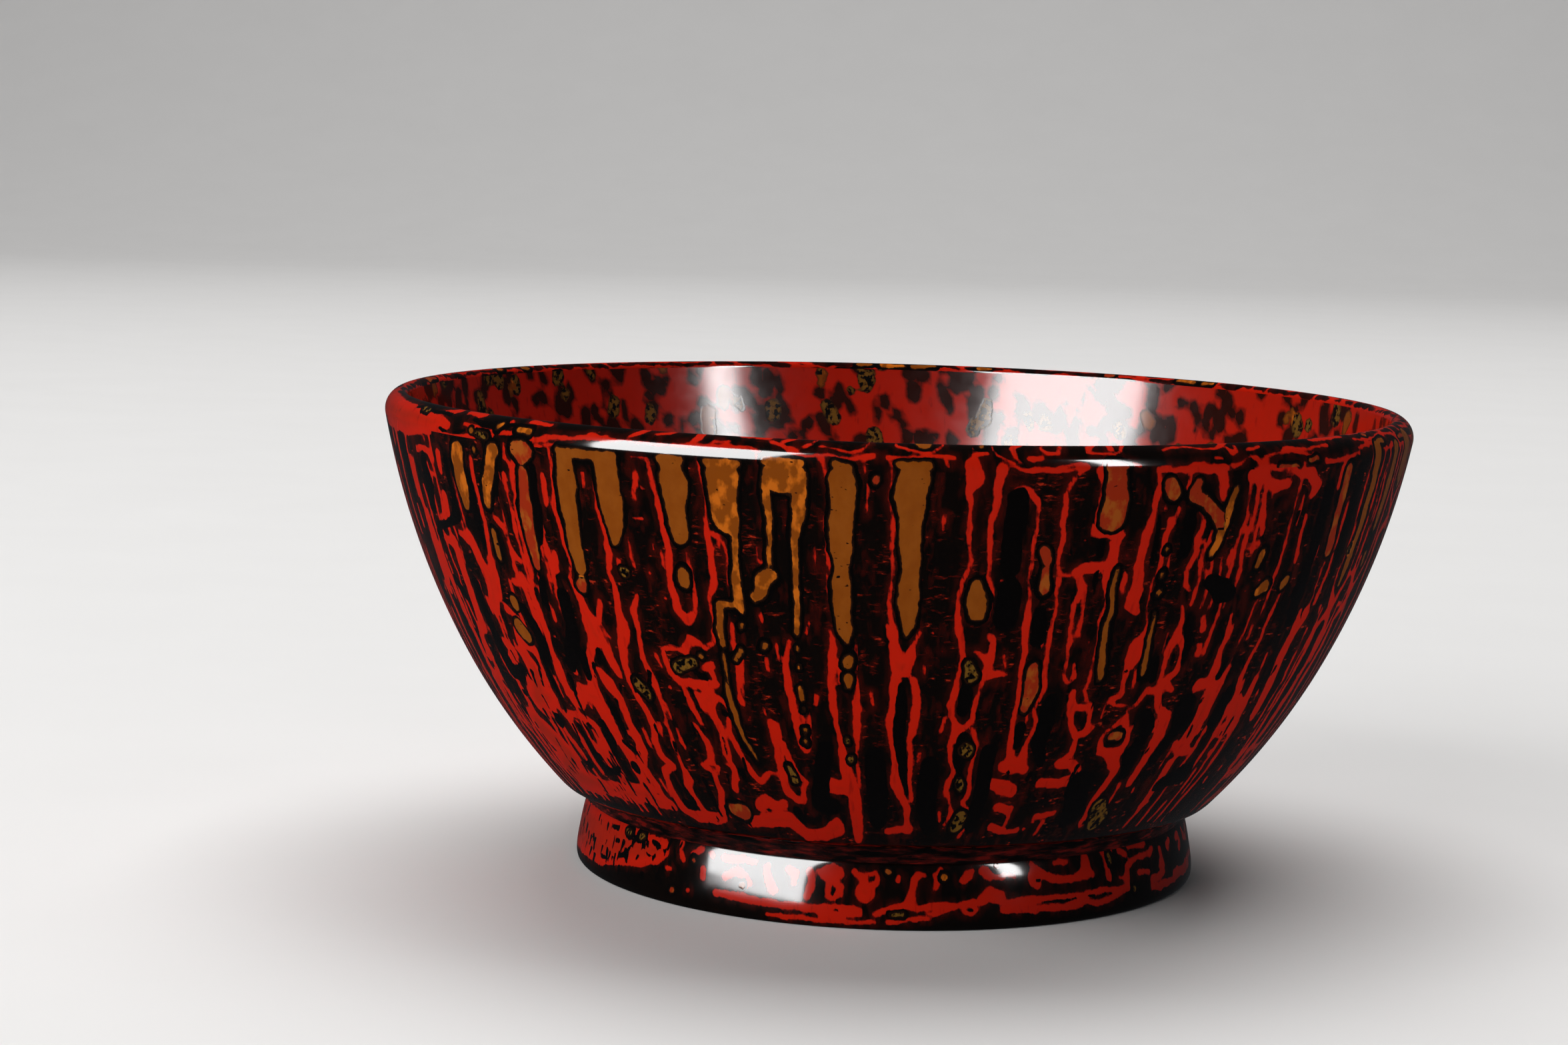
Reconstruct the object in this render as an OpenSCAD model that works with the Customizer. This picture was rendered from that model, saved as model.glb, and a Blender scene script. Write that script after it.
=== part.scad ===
// A turned wooden bowl on a low foot ring, built up in layers over the wood: hemp cloth on the rim
// and the foot, a ground coat of lacquer putty, and coloured lacquer on every face. Each layer is a
// ring of its own, drawn as the strip between one outline and the same outline pushed deeper into
// the wood. Millimetres, with the bowl's axis along Z and its foot standing on z = 0.

/* [Rim] */
// Widest diameter, at the lip
rim_d = 130; // [129:0.5:132]
// Height of the lip's widest circle
widest_z = 57.5; // [56:0.5:59]
// Radius of the lip's rounded outer shoulder
lip_r = 2.5; // [2.2:0.1:2.8]
// Radius of the lip's crisper inner edge
lip_inner_r = 1.0; // [0.95:0.05:1.1]
// Thickness of the finished wall
wall_t = 3.2; // [2.9:0.1:3.5]

/* [Wall] */
// Lean of the wall at the lip, in degrees from upright
rim_lean = 10.5; // [10:0.1:10.8]
// Radius of the upper wall's curve
wall_arc = 100; // [98:1:106]
// Radius of the belly's curve, below the blend
belly_arc = 80; // [74:1:84]
// Height at which the upper wall blends into the belly
blend_z = 28; // [24:1:32]
// Radius of the belly's lower edge, where it turns in to the neck
edge_r = 1.2; // [1:0.1:1.3]

/* [Inside] */
// Height of the inside at its centre
floor_z = 12; // [11:0.5:14]
// Radius of the curve from the inner wall down to the floor
heel_r = 30; // [26:1:34]
// Radius of the floor's gentle dish
dish_r = 150; // [120:5:200]

/* [Foot] */
// Outer radius of the foot ring, where its sloping face would reach the table
foot_r = 40.1; // [39.9:0.1:40.3]
// Height of the foot ring's outer face
foot_h = 8.2; // [7.9:0.1:8.5]
// How far the foot's face leans in from its bottom to its top
foot_lean = 1.5; // [1.3:0.1:1.7]
// Height of the belly's underside over the neck
neck_top = 10.4; // [10.2:0.1:10.8]
// Radius of the fillet under the belly
neck_fillet = 0.8; // [0.5:0.1:0.9]
// How far the foot's face rounds over towards its top and bottom
foot_round = 0.9; // [0.8:0.05:1.1]
// Fullness of the foot's face: 2 is an ellipse, more is squarer
foot_power = 3.2; // [2.6:0.1:3.6]
// Angle round the foot's face, up from its middle, where the neck rises from it
foot_top_a = 58; // [52:1:64]
// Radius of the recess under the bowl
recess_r = 35; // [34:0.5:35.5]
// Depth of the recess under the bowl
recess_z = 5.5; // [4.5:0.5:6]
// Radius of the corner between the recess's wall and ceiling
recess_fillet = 2; // [1:0.5:3]
// Radius of the foot's inner edge
land_round = 1.0; // [0.95:0.05:1.2]

/* [Layers] */
// Thickness of the coloured lacquer
lacquer_t = 0.4; // [0.3:0.05:0.45]
// Thickness of the lacquer putty under it
ground_t = 0.3; // [0.2:0.05:0.3]
// Thickness of the hemp cloth on rim and foot
cloth_t = 0.2; // [0.1:0.05:0.2]
// Angle of the upper wall's curve that the rim cloth covers
hem_angle = 5; // [2:0.5:8]

/* [Hidden] */

// The most that an outline's short straight lines may stray from its true curve
outline_error = 0.008;
// The finest turn of the shapes about the axis
$fn = 180;

// Depths below the finished surface
under_lacquer = lacquer_t;
under_ground = under_lacquer + ground_t;
under_cloth = under_ground + cloth_t;

// Points along an arc, from one angle to another
function arc(centre, r, from, to) =
    let (turn = 2 * acos(1 - min(0.5, outline_error / r)),
         n = max(2, ceil(abs(to - from) / turn)))
    [for (i = [0:n]) let (a = from + (to - from) * i / n) centre + r * [cos(a), sin(a)]];

// Where two circles meet, on the right-hand side going from the first centre to the second
function meet(c1, r1, c2, r2) =
    let (gap = norm(c2 - c1), along = (gap * gap + r1 * r1 - r2 * r2) / (2 * gap),
         aside = sqrt(r1 * r1 - along * along), u = (c2 - c1) / gap)
    c1 + along * u + aside * [u.y, -u.x];

function angle_of(v) = atan2(v.y, v.x);
function reversed(points) = [for (i = [len(points) - 1:-1:0]) points[i]];

// Centres of the outer curves. Neighbouring arcs are tangent, so each centre lies on the line
// through the point where they meet.
lip_c = [rim_d / 2 - lip_r, widest_z];
wall_c = lip_c + (wall_arc - lip_r) * [-cos(rim_lean), sin(rim_lean)];
blend_a = asin((wall_c.y - blend_z) / wall_arc);
belly_c = wall_c + (wall_arc - belly_arc) * [cos(blend_a), -sin(blend_a)];
edge_a = asin((belly_c.y - neck_top - edge_r) / (belly_arc - edge_r));
edge_c = belly_c + (belly_arc - edge_r) * [cos(edge_a), -sin(edge_a)];

// Radii and centres of the inner curves
inner_wall = wall_arc - wall_t;
inner_belly = belly_arc - wall_t;
lip_inner_c = meet(lip_c, lip_r - lip_inner_r, wall_c, inner_wall + lip_inner_r);
crest_a = angle_of(lip_inner_c - lip_c);
inner_lip_a = angle_of(wall_c - lip_inner_c);
inner_top_a = angle_of(lip_inner_c - wall_c);
dish_c = [0, floor_z + dish_r];
heel_c = meet(belly_c, inner_belly - heel_r, dish_c, dish_r - heel_r);
heel_a = angle_of(heel_c - belly_c);
dish_a = angle_of(heel_c - dish_c);

// The outlines, each as a function of the depth below the finished surface. Together, in this
// order, they run once round the bowl's section: over the lip outwards, down the outside, under
// the foot, up the recess to the axis, and from the floor's centre up the inside to the lip.
lip_out = function(t) arc(lip_c, lip_r - t, crest_a, -rim_lean);
hem_out = function(t) arc(wall_c, wall_arc - t, -rim_lean, -rim_lean - hem_angle);
body = function(t) concat(
    arc(wall_c, wall_arc - t, -rim_lean - hem_angle, -blend_a),
    arc(belly_c, belly_arc - t, -blend_a, -edge_a),
    arc(edge_c, edge_r - t, -edge_a, -90));
neck = function(t) concat(
    [[edge_c.x, neck_top + t]],
    arc([neck_r + neck_fillet, neck_top - neck_fillet], neck_fillet + t, 90, 180),
    [foot_point(foot_top_a, t)]);
foot_face = function(t) [for (i = [0:foot_steps])
    foot_point(foot_top_a - (foot_top_a + 90) * i / foot_steps, t)];
land = function(t) [[foot_r - foot_round - t, t], [recess_r + land_round, t]];
recess = function(t) concat(
    arc([recess_r + land_round, land_round], land_round - t, -90, -180),
    arc([recess_r - recess_fillet, recess_z - recess_fillet], recess_fillet + t, 0, 90),
    [[0, recess_z + t]]);
inside = function(t) concat(
    arc(dish_c, dish_r + t, -90, dish_a),
    arc(heel_c, heel_r + t, dish_a, heel_a),
    arc(belly_c, inner_belly + t, heel_a, -blend_a),
    arc(wall_c, inner_wall + t, -blend_a, inner_top_a - hem_angle));
hem_in = function(t) arc(wall_c, inner_wall + t, inner_top_a - hem_angle, inner_top_a);
lip_in = function(t) arc(lip_inner_c, lip_inner_r - t, inner_lip_a, crest_a);

// The foot's outer face is half of a rounded oblong that leans in. Its top runs out against the
// neck, which rises from it.
foot_steps = 28;
function foot_point(a, t) =
    let (z = foot_h / 2 * (1 + sign(a) * pow(abs(sin(a)), 2 / foot_power)),
         x = foot_r - foot_round * (1 - pow(max(0, cos(a)), 2 / foot_power))
             - foot_lean * z / foot_h)
    [x - t, z + t * (1 - z / foot_h)];
neck_r = foot_point(foot_top_a, 0).x;

function outline(paths, t) = [for (p = paths) each p(t)];

// Point lists may repeat the point that two neighbours share, so repeats are dropped
function tidy(points) = [for (i = [0:len(points) - 1])
    if (norm(points[i] - points[(i + 1) % len(points)]) > 1e-6) points[i]];

// A layer that covers the stretch of section that paths run along, between two depths
module layer(paths, from, to)
    rotate_extrude() polygon(tidy(concat(outline(paths, from), reversed(outline(paths, to)))));

// The wood, turned from one block with its foot, and rebated where cloth is laid on it
module wood_core() color("burlywood")
    rotate_extrude() polygon(tidy(concat(
        outline([lip_out, hem_out], under_cloth),
        outline([body, neck], under_ground),
        outline([foot_face, land], under_cloth),
        outline([recess, inside], under_ground),
        outline([hem_in, lip_in], under_cloth))));

// Hemp strip folded over the rim
module rim_cloth() color("wheat")
    layer([hem_in, lip_in, lip_out, hem_out], under_ground, under_cloth);

// Hemp strip round the foot and under it
module foot_cloth() color("wheat") layer([foot_face, land], under_ground, under_cloth);

// Lacquer putty on the outside, from the lip's crest to the belly's lower edge
module outer_ground() color("saddlebrown")
    layer([lip_out, hem_out, body], under_lacquer, under_ground);

// Lacquer putty on the inside
module inner_ground() color("saddlebrown")
    layer([inside, hem_in, lip_in], under_lacquer, under_ground);

// Lacquer putty on the neck, the foot and the recess
module foot_ground() color("saddlebrown")
    layer([neck, foot_face, land, recess], under_lacquer, under_ground);

// Marbled lacquer on the outer wall
module outer_lacquer() color([0.35, 0.03, 0.02]) layer([hem_out, body], 0, under_lacquer);

// Marbled lacquer on the inside
module inner_lacquer() color([0.55, 0.06, 0.03]) layer([inside, hem_in], 0, under_lacquer);

// Marbled lacquer over the lip
module rim_lacquer() color([0.12, 0.03, 0.02]) layer([lip_in, lip_out], 0, under_lacquer);

// Dark lacquer in the groove between belly and foot
module neck_lacquer() color([0.16, 0.04, 0.02]) layer([neck], 0, under_lacquer);

// Marbled lacquer on the foot ring and the face it stands on
module foot_lacquer() color([0.45, 0.05, 0.02]) layer([foot_face, land], 0, under_lacquer);

// Black lacquer in the recess
module base_lacquer() color([0.03, 0.02, 0.02]) layer([recess], 0, under_lacquer);

wood_core();
rim_cloth();
foot_cloth();
outer_ground();
inner_ground();
foot_ground();
outer_lacquer();
inner_lacquer();
rim_lacquer();
neck_lacquer();
foot_lacquer();
base_lacquer();
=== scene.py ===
"""A turned bowl in polished, marbled lacquer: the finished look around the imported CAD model.

The six lacquer skins that show are rebuilt as fine turned meshes inside the CAD skins. Each skin
carries its marbling as distances, in millimetres, worked out at every vertex: the lacquer was
dripped on in ridges, covered with coat after coat of other colours and polished flat, so each
ridge shows as a core inside a black band inside a red line.
"""
import math
import bmesh
import bpy
import numpy as np
from mathutils import Matrix, Vector


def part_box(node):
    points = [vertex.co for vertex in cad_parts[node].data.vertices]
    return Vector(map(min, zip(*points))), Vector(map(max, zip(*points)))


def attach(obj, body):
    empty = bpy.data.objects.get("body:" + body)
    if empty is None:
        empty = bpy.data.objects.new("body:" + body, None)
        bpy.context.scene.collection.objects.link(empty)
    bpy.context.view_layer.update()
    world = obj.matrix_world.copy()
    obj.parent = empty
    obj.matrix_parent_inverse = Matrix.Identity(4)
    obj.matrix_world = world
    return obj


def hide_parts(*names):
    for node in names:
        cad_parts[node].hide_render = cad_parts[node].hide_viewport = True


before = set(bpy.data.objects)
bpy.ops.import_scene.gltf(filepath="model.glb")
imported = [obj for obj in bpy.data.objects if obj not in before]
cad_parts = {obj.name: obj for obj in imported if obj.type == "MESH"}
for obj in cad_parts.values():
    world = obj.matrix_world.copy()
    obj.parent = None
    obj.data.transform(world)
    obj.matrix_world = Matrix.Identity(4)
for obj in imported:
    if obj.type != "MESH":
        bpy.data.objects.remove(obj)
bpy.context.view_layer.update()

MM = 0.001

# ---------------------------------------------------------------- driving dimensions, in mm
RIM_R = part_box("rim_lacquer")[1].x / MM
WIDEST_Z = 57.5
LIP_R = 2.5
LIP_INNER_R = 1.0
WALL_T = 3.2
RIM_LEAN = math.radians(10.5)
WALL_ARC = 100.0
BELLY_ARC = 80.0
BLEND_Z = 28.0
EDGE_R = 1.2
FLOOR_Z = 12.0
HEEL_R = 30.0
DISH_R = 150.0
FOOT_R = 40.1
FOOT_H = 8.2
FOOT_LEAN = 1.5
FOOT_ROUND = 0.9
FOOT_POWER = 3.2
FOOT_TOP_A = math.radians(58)
NECK_TOP = 10.4
NECK_FILLET = 0.8
RECESS_R = 35.0
RECESS_Z = 5.5
RECESS_FILLET = 2.0
LAND_ROUND = 1.0
LACQUER_T = 0.4

# Radius that lengths round the bowl are counted at, and its millimetres to a degree
RIM_NOMINAL = 65.0
ARC = math.radians(1) * RIM_NOMINAL


# ---------------------------------------------------------------- camera
CAMERA_AT = (0.0, -0.4066, 0.0919)
CAMERA_TURN = (1.98, 6.81, 1.56)
LENS_MM = 73.1


def make_camera():
    """The view of the bowl from a little above its lip, slightly turned and rolled."""
    yaw, pitch, roll = (math.radians(turn) for turn in CAMERA_TURN)
    ahead = math.cos(pitch)
    forward = Vector((-math.sin(yaw) * ahead, math.cos(yaw) * ahead, -math.sin(pitch)))
    level = Vector((math.cos(yaw), math.sin(yaw), 0.0))
    upright = level.cross(forward)
    right = level * math.cos(roll) + upright * math.sin(roll)
    up = upright * math.cos(roll) - level * math.sin(roll)
    data = bpy.data.cameras.new("camera")
    data.lens = LENS_MM
    data.sensor_width = 36.0
    data.clip_start, data.clip_end = 0.01, 20.0
    camera = bpy.data.objects.new("camera", data)
    turn = Matrix((right, up, -forward)).transposed().to_4x4()
    camera.matrix_world = Matrix.Translation(CAMERA_AT) @ turn
    bpy.context.scene.collection.objects.link(camera)
    bpy.context.scene.camera = camera


# ---------------------------------------------------------------- outlines, as (radius, height) in mm
def polar(centre, radius, angle):
    return np.array(centre) + radius * np.array([math.cos(angle), math.sin(angle)])


def arc(centre, radius, start, end, steps=24):
    """Points along an arc, from one angle to another."""
    return [polar(centre, radius, a) for a in np.linspace(start, end, steps + 1)]


def meet(c1, r1, c2, r2):
    """Where two circles meet, on the right-hand side going from the first centre to the second."""
    gap = np.linalg.norm(c2 - c1)
    along = (gap * gap + r1 * r1 - r2 * r2) / (2 * gap)
    aside = math.sqrt(r1 * r1 - along * along)
    u = (c2 - c1) / gap
    return c1 + along * u + aside * np.array([u[1], -u[0]])


def angle_of(v):
    return math.atan2(v[1], v[0])


LIP_C = np.array([RIM_R - LIP_R, WIDEST_Z])
WALL_C = LIP_C + (WALL_ARC - LIP_R) * np.array([-math.cos(RIM_LEAN), math.sin(RIM_LEAN)])
BLEND_A = math.asin((WALL_C[1] - BLEND_Z) / WALL_ARC)
BELLY_C = polar(WALL_C, WALL_ARC - BELLY_ARC, -BLEND_A)
EDGE_A = math.asin((BELLY_C[1] - NECK_TOP - EDGE_R) / (BELLY_ARC - EDGE_R))
EDGE_C = polar(BELLY_C, BELLY_ARC - EDGE_R, -EDGE_A)
INNER_WALL = WALL_ARC - WALL_T
INNER_BELLY = BELLY_ARC - WALL_T
LIP_INNER_C = meet(LIP_C, LIP_R - LIP_INNER_R, WALL_C, INNER_WALL + LIP_INNER_R)
CREST_A = angle_of(LIP_INNER_C - LIP_C)
INNER_LIP_A = angle_of(WALL_C - LIP_INNER_C)
INNER_TOP_A = angle_of(LIP_INNER_C - WALL_C)
DISH_C = np.array([0.0, FLOOR_Z + DISH_R])
HEEL_C = meet(BELLY_C, INNER_BELLY - HEEL_R, DISH_C, DISH_R - HEEL_R)
HEEL_A = angle_of(HEEL_C - BELLY_C)
DISH_A = angle_of(HEEL_C - DISH_C)


def foot_point(angle, depth):
    """A point of the foot's face, half of a rounded oblong that leans in, or of its back."""
    z = FOOT_H / 2 * (1 + math.copysign(abs(math.sin(angle)) ** (2 / FOOT_POWER), angle))
    rounded = FOOT_ROUND * (1 - max(0.0, math.cos(angle)) ** (2 / FOOT_POWER))
    x = FOOT_R - rounded - FOOT_LEAN * z / FOOT_H
    return np.array([x - depth, z + depth * (1 - z / FOOT_H)])


NECK_R = foot_point(FOOT_TOP_A, 0.0)[0]


def wall_outline(t):
    return (arc(WALL_C, WALL_ARC - t, -RIM_LEAN, -BLEND_A)
            + arc(BELLY_C, BELLY_ARC - t, -BLEND_A, -EDGE_A)
            + arc(EDGE_C, EDGE_R - t, -EDGE_A, -math.pi / 2))


def lip_outline(t):
    return (arc(LIP_INNER_C, LIP_INNER_R - t, INNER_LIP_A, CREST_A)
            + arc(LIP_C, LIP_R - t, CREST_A, -RIM_LEAN))


def inside_outline(t):
    return ([np.array([0.0, FLOOR_Z - t])]
            + arc(DISH_C, DISH_R + t, -math.pi / 2, DISH_A)[1:]
            + arc(HEEL_C, HEEL_R + t, DISH_A, HEEL_A)
            + arc(BELLY_C, INNER_BELLY + t, HEEL_A, -BLEND_A)
            + arc(WALL_C, INNER_WALL + t, -BLEND_A, INNER_TOP_A))


def neck_outline(t):
    fillet_c = (NECK_R + NECK_FILLET, NECK_TOP - NECK_FILLET)
    return ([np.array([EDGE_C[0], NECK_TOP + t])]
            + arc(fillet_c, NECK_FILLET + t, math.pi / 2, math.pi)
            + [foot_point(FOOT_TOP_A, t)])


def foot_outline(t):
    face = [foot_point(a, t) for a in np.linspace(FOOT_TOP_A, -math.pi / 2, 49)]
    return face + [np.array([FOOT_R - FOOT_ROUND - t, t]), np.array([RECESS_R + LAND_ROUND, t])]


def base_outline(t):
    fillet_c = (RECESS_R - RECESS_FILLET, RECESS_Z - RECESS_FILLET)
    return (arc((RECESS_R + LAND_ROUND, LAND_ROUND), LAND_ROUND - t, -math.pi / 2, -math.pi)
            + arc(fillet_c, RECESS_FILLET + t, 0, math.pi / 2)
            + [np.array([0.0, RECESS_Z + t])])


def resample(points, count):
    """The outline again, as points that lie evenly along it."""
    points = np.array(points)
    step = np.hypot(*np.diff(points, axis=0).T)
    length = np.concatenate([[0], np.cumsum(step)])
    even = np.linspace(0, length[-1], count)
    return np.stack([np.interp(even, length, points[:, i]) for i in (0, 1)], 1), even


# ---------------------------------------------------------------- turned meshes
# Heights that the noise of the wall and the lip covers, so that their marks run on
WALL_SPAN = (8.0, 68.0)
# Half the arc that the camera's side takes, in degrees, and its share of the columns
FRONT_HALF = 80
FRONT_SHARE = 0.56
# How far the polished faces stand in from the CAD's, how they wave, and where that dies away, in mm
SMOOTH_EDGE = 0.003
WAVE_CELL = 7.0
WAVE = 0.012
FINE_WAVE = 0.006
CALM_EDGE = 4.0
# Edges turned more than this stay sharp
SHARP = math.radians(50)


def ring_noise(rng, azimuth, along, cell_mm, span=None):
    """Smooth random values from -1 to 1 on rows x columns, that close up round the bowl. Skins that
    share a seed and a span of heights share the values too."""
    low, high = span or (along.min(), along.max())
    around = round(2 * math.pi * RIM_NOMINAL / cell_mm)
    grid = rng.uniform(-1, 1, (int((high - low) / cell_mm) + 3, around))
    a = (azimuth % 360) / 360 * around
    b = (along - low) / cell_mm
    i, j = np.floor(a).astype(int), np.floor(b).astype(int)
    fa, fb = a - i, b - j
    fa, fb = fa * fa * (3 - 2 * fa), fb * fb * (3 - 2 * fb)
    near, far = i % around, (i + 1) % around
    low = grid[j][:, near] * (1 - fa) + grid[j][:, far] * fa
    high = grid[j + 1][:, near] * (1 - fa) + grid[j + 1][:, far] * fa
    return low * (1 - fb[:, None]) + high * fb[:, None]


def spread(columns):
    """The azimuth of each column, in degrees, closer together on the side the camera faces."""
    front = round(columns * FRONT_SHARE)
    return np.concatenate([np.linspace(-FRONT_HALF, FRONT_HALF, front, endpoint=False),
                           np.linspace(FRONT_HALF, 360 - FRONT_HALF, columns - front, endpoint=False)])


def turned(name, outline, columns, rows, back_rows, seed, wave=WAVE):
    """A closed skin turned about the axis, its face polished almost smooth. Gives the piece and the
    places of its face's vertices: azimuth in degrees by column, radius and height in mm by row."""
    rng = np.random.RandomState(seed)
    face, along = resample(outline(0.0), rows)
    back, _ = resample(outline(LACQUER_T), back_rows)
    azimuth = spread(columns)
    ripple = wave * (1 + ring_noise(rng, azimuth, along, WAVE_CELL)) * 0.5
    slope = np.gradient(face, axis=0)
    normal = np.stack([slope[:, 1], -slope[:, 0]], 1)
    normal /= np.linalg.norm(normal, axis=1)[:, None]
    toward_back = (back[len(back) // 2] - face[len(face) // 2]) @ normal[len(face) // 2]
    normal *= math.copysign(1, toward_back)
    calm = np.minimum(1, np.minimum(along, along[-1] - along) / CALM_EDGE)[:, None]
    radius = face[:, :1] + normal[:, :1] * (SMOOTH_EDGE + ripple * calm)
    height = face[:, 1:] + normal[:, 1:] * (SMOOTH_EDGE + ripple * calm)
    radius = np.concatenate([radius, np.repeat(back[::-1, :1], columns, 1)])
    height = np.concatenate([height, np.repeat(back[::-1, 1:], columns, 1)])
    turn = np.radians(azimuth)
    vertices = np.stack([radius * np.sin(turn), -radius * np.cos(turn), height], 2) * MM
    total = rows + back_rows
    r, c = np.meshgrid(np.arange(total), np.arange(columns), indexing="ij")
    r2, c2 = (r + 1) % total, (c + 1) % columns
    quads = np.stack([r * columns + c, r2 * columns + c, r2 * columns + c2, r * columns + c2], 2)
    mesh = bpy.data.meshes.new(name)
    mesh.from_pydata(vertices.reshape(-1, 3).tolist(), [], quads.reshape(-1, 4).tolist())
    mesh.update()
    return finish_mesh(name, mesh), azimuth, face, along


def finish_mesh(name, mesh):
    """Merges the points on the axis, turns every face outwards and shades the skin smooth, but for
    its corners."""
    work = bmesh.new()
    work.from_mesh(mesh)
    on_axis = [v for v in work.verts if v.co.x ** 2 + v.co.y ** 2 < (0.02 * MM) ** 2]
    bmesh.ops.remove_doubles(work, verts=on_axis, dist=0.05 * MM)
    bmesh.ops.dissolve_degenerate(work, dist=1e-7, edges=work.edges)
    bmesh.ops.recalc_face_normals(work, faces=work.faces)
    work.to_mesh(mesh)
    work.free()
    mesh.shade_smooth()
    mesh.set_sharp_from_angle(angle=SHARP)
    piece = bpy.data.objects.new(name, mesh)
    bpy.context.scene.collection.objects.link(piece)
    return piece


def store(piece, name, values, back_rows):
    """Keeps a field of the face, rows x columns, on the mesh. The back repeats the nearest edge."""
    back = np.repeat(values[-1:], back_rows, 0)
    full = np.concatenate([values, back]).astype(np.float32).ravel()
    layer = piece.data.attributes.new(name, "FLOAT", "POINT")
    layer.data.foreach_set("value", full[:len(piece.data.vertices)])


# ---------------------------------------------------------------- the marbling, listed
# A stroke is a list of (azimuth in degrees, height in mm, half width in mm). Azimuth 0 faces the
# camera's side of the bowl and grows to the right.
OCHRE, GOLD, DULL, BRICK = 0.0, 1.0, 2.0, 3.0

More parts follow.
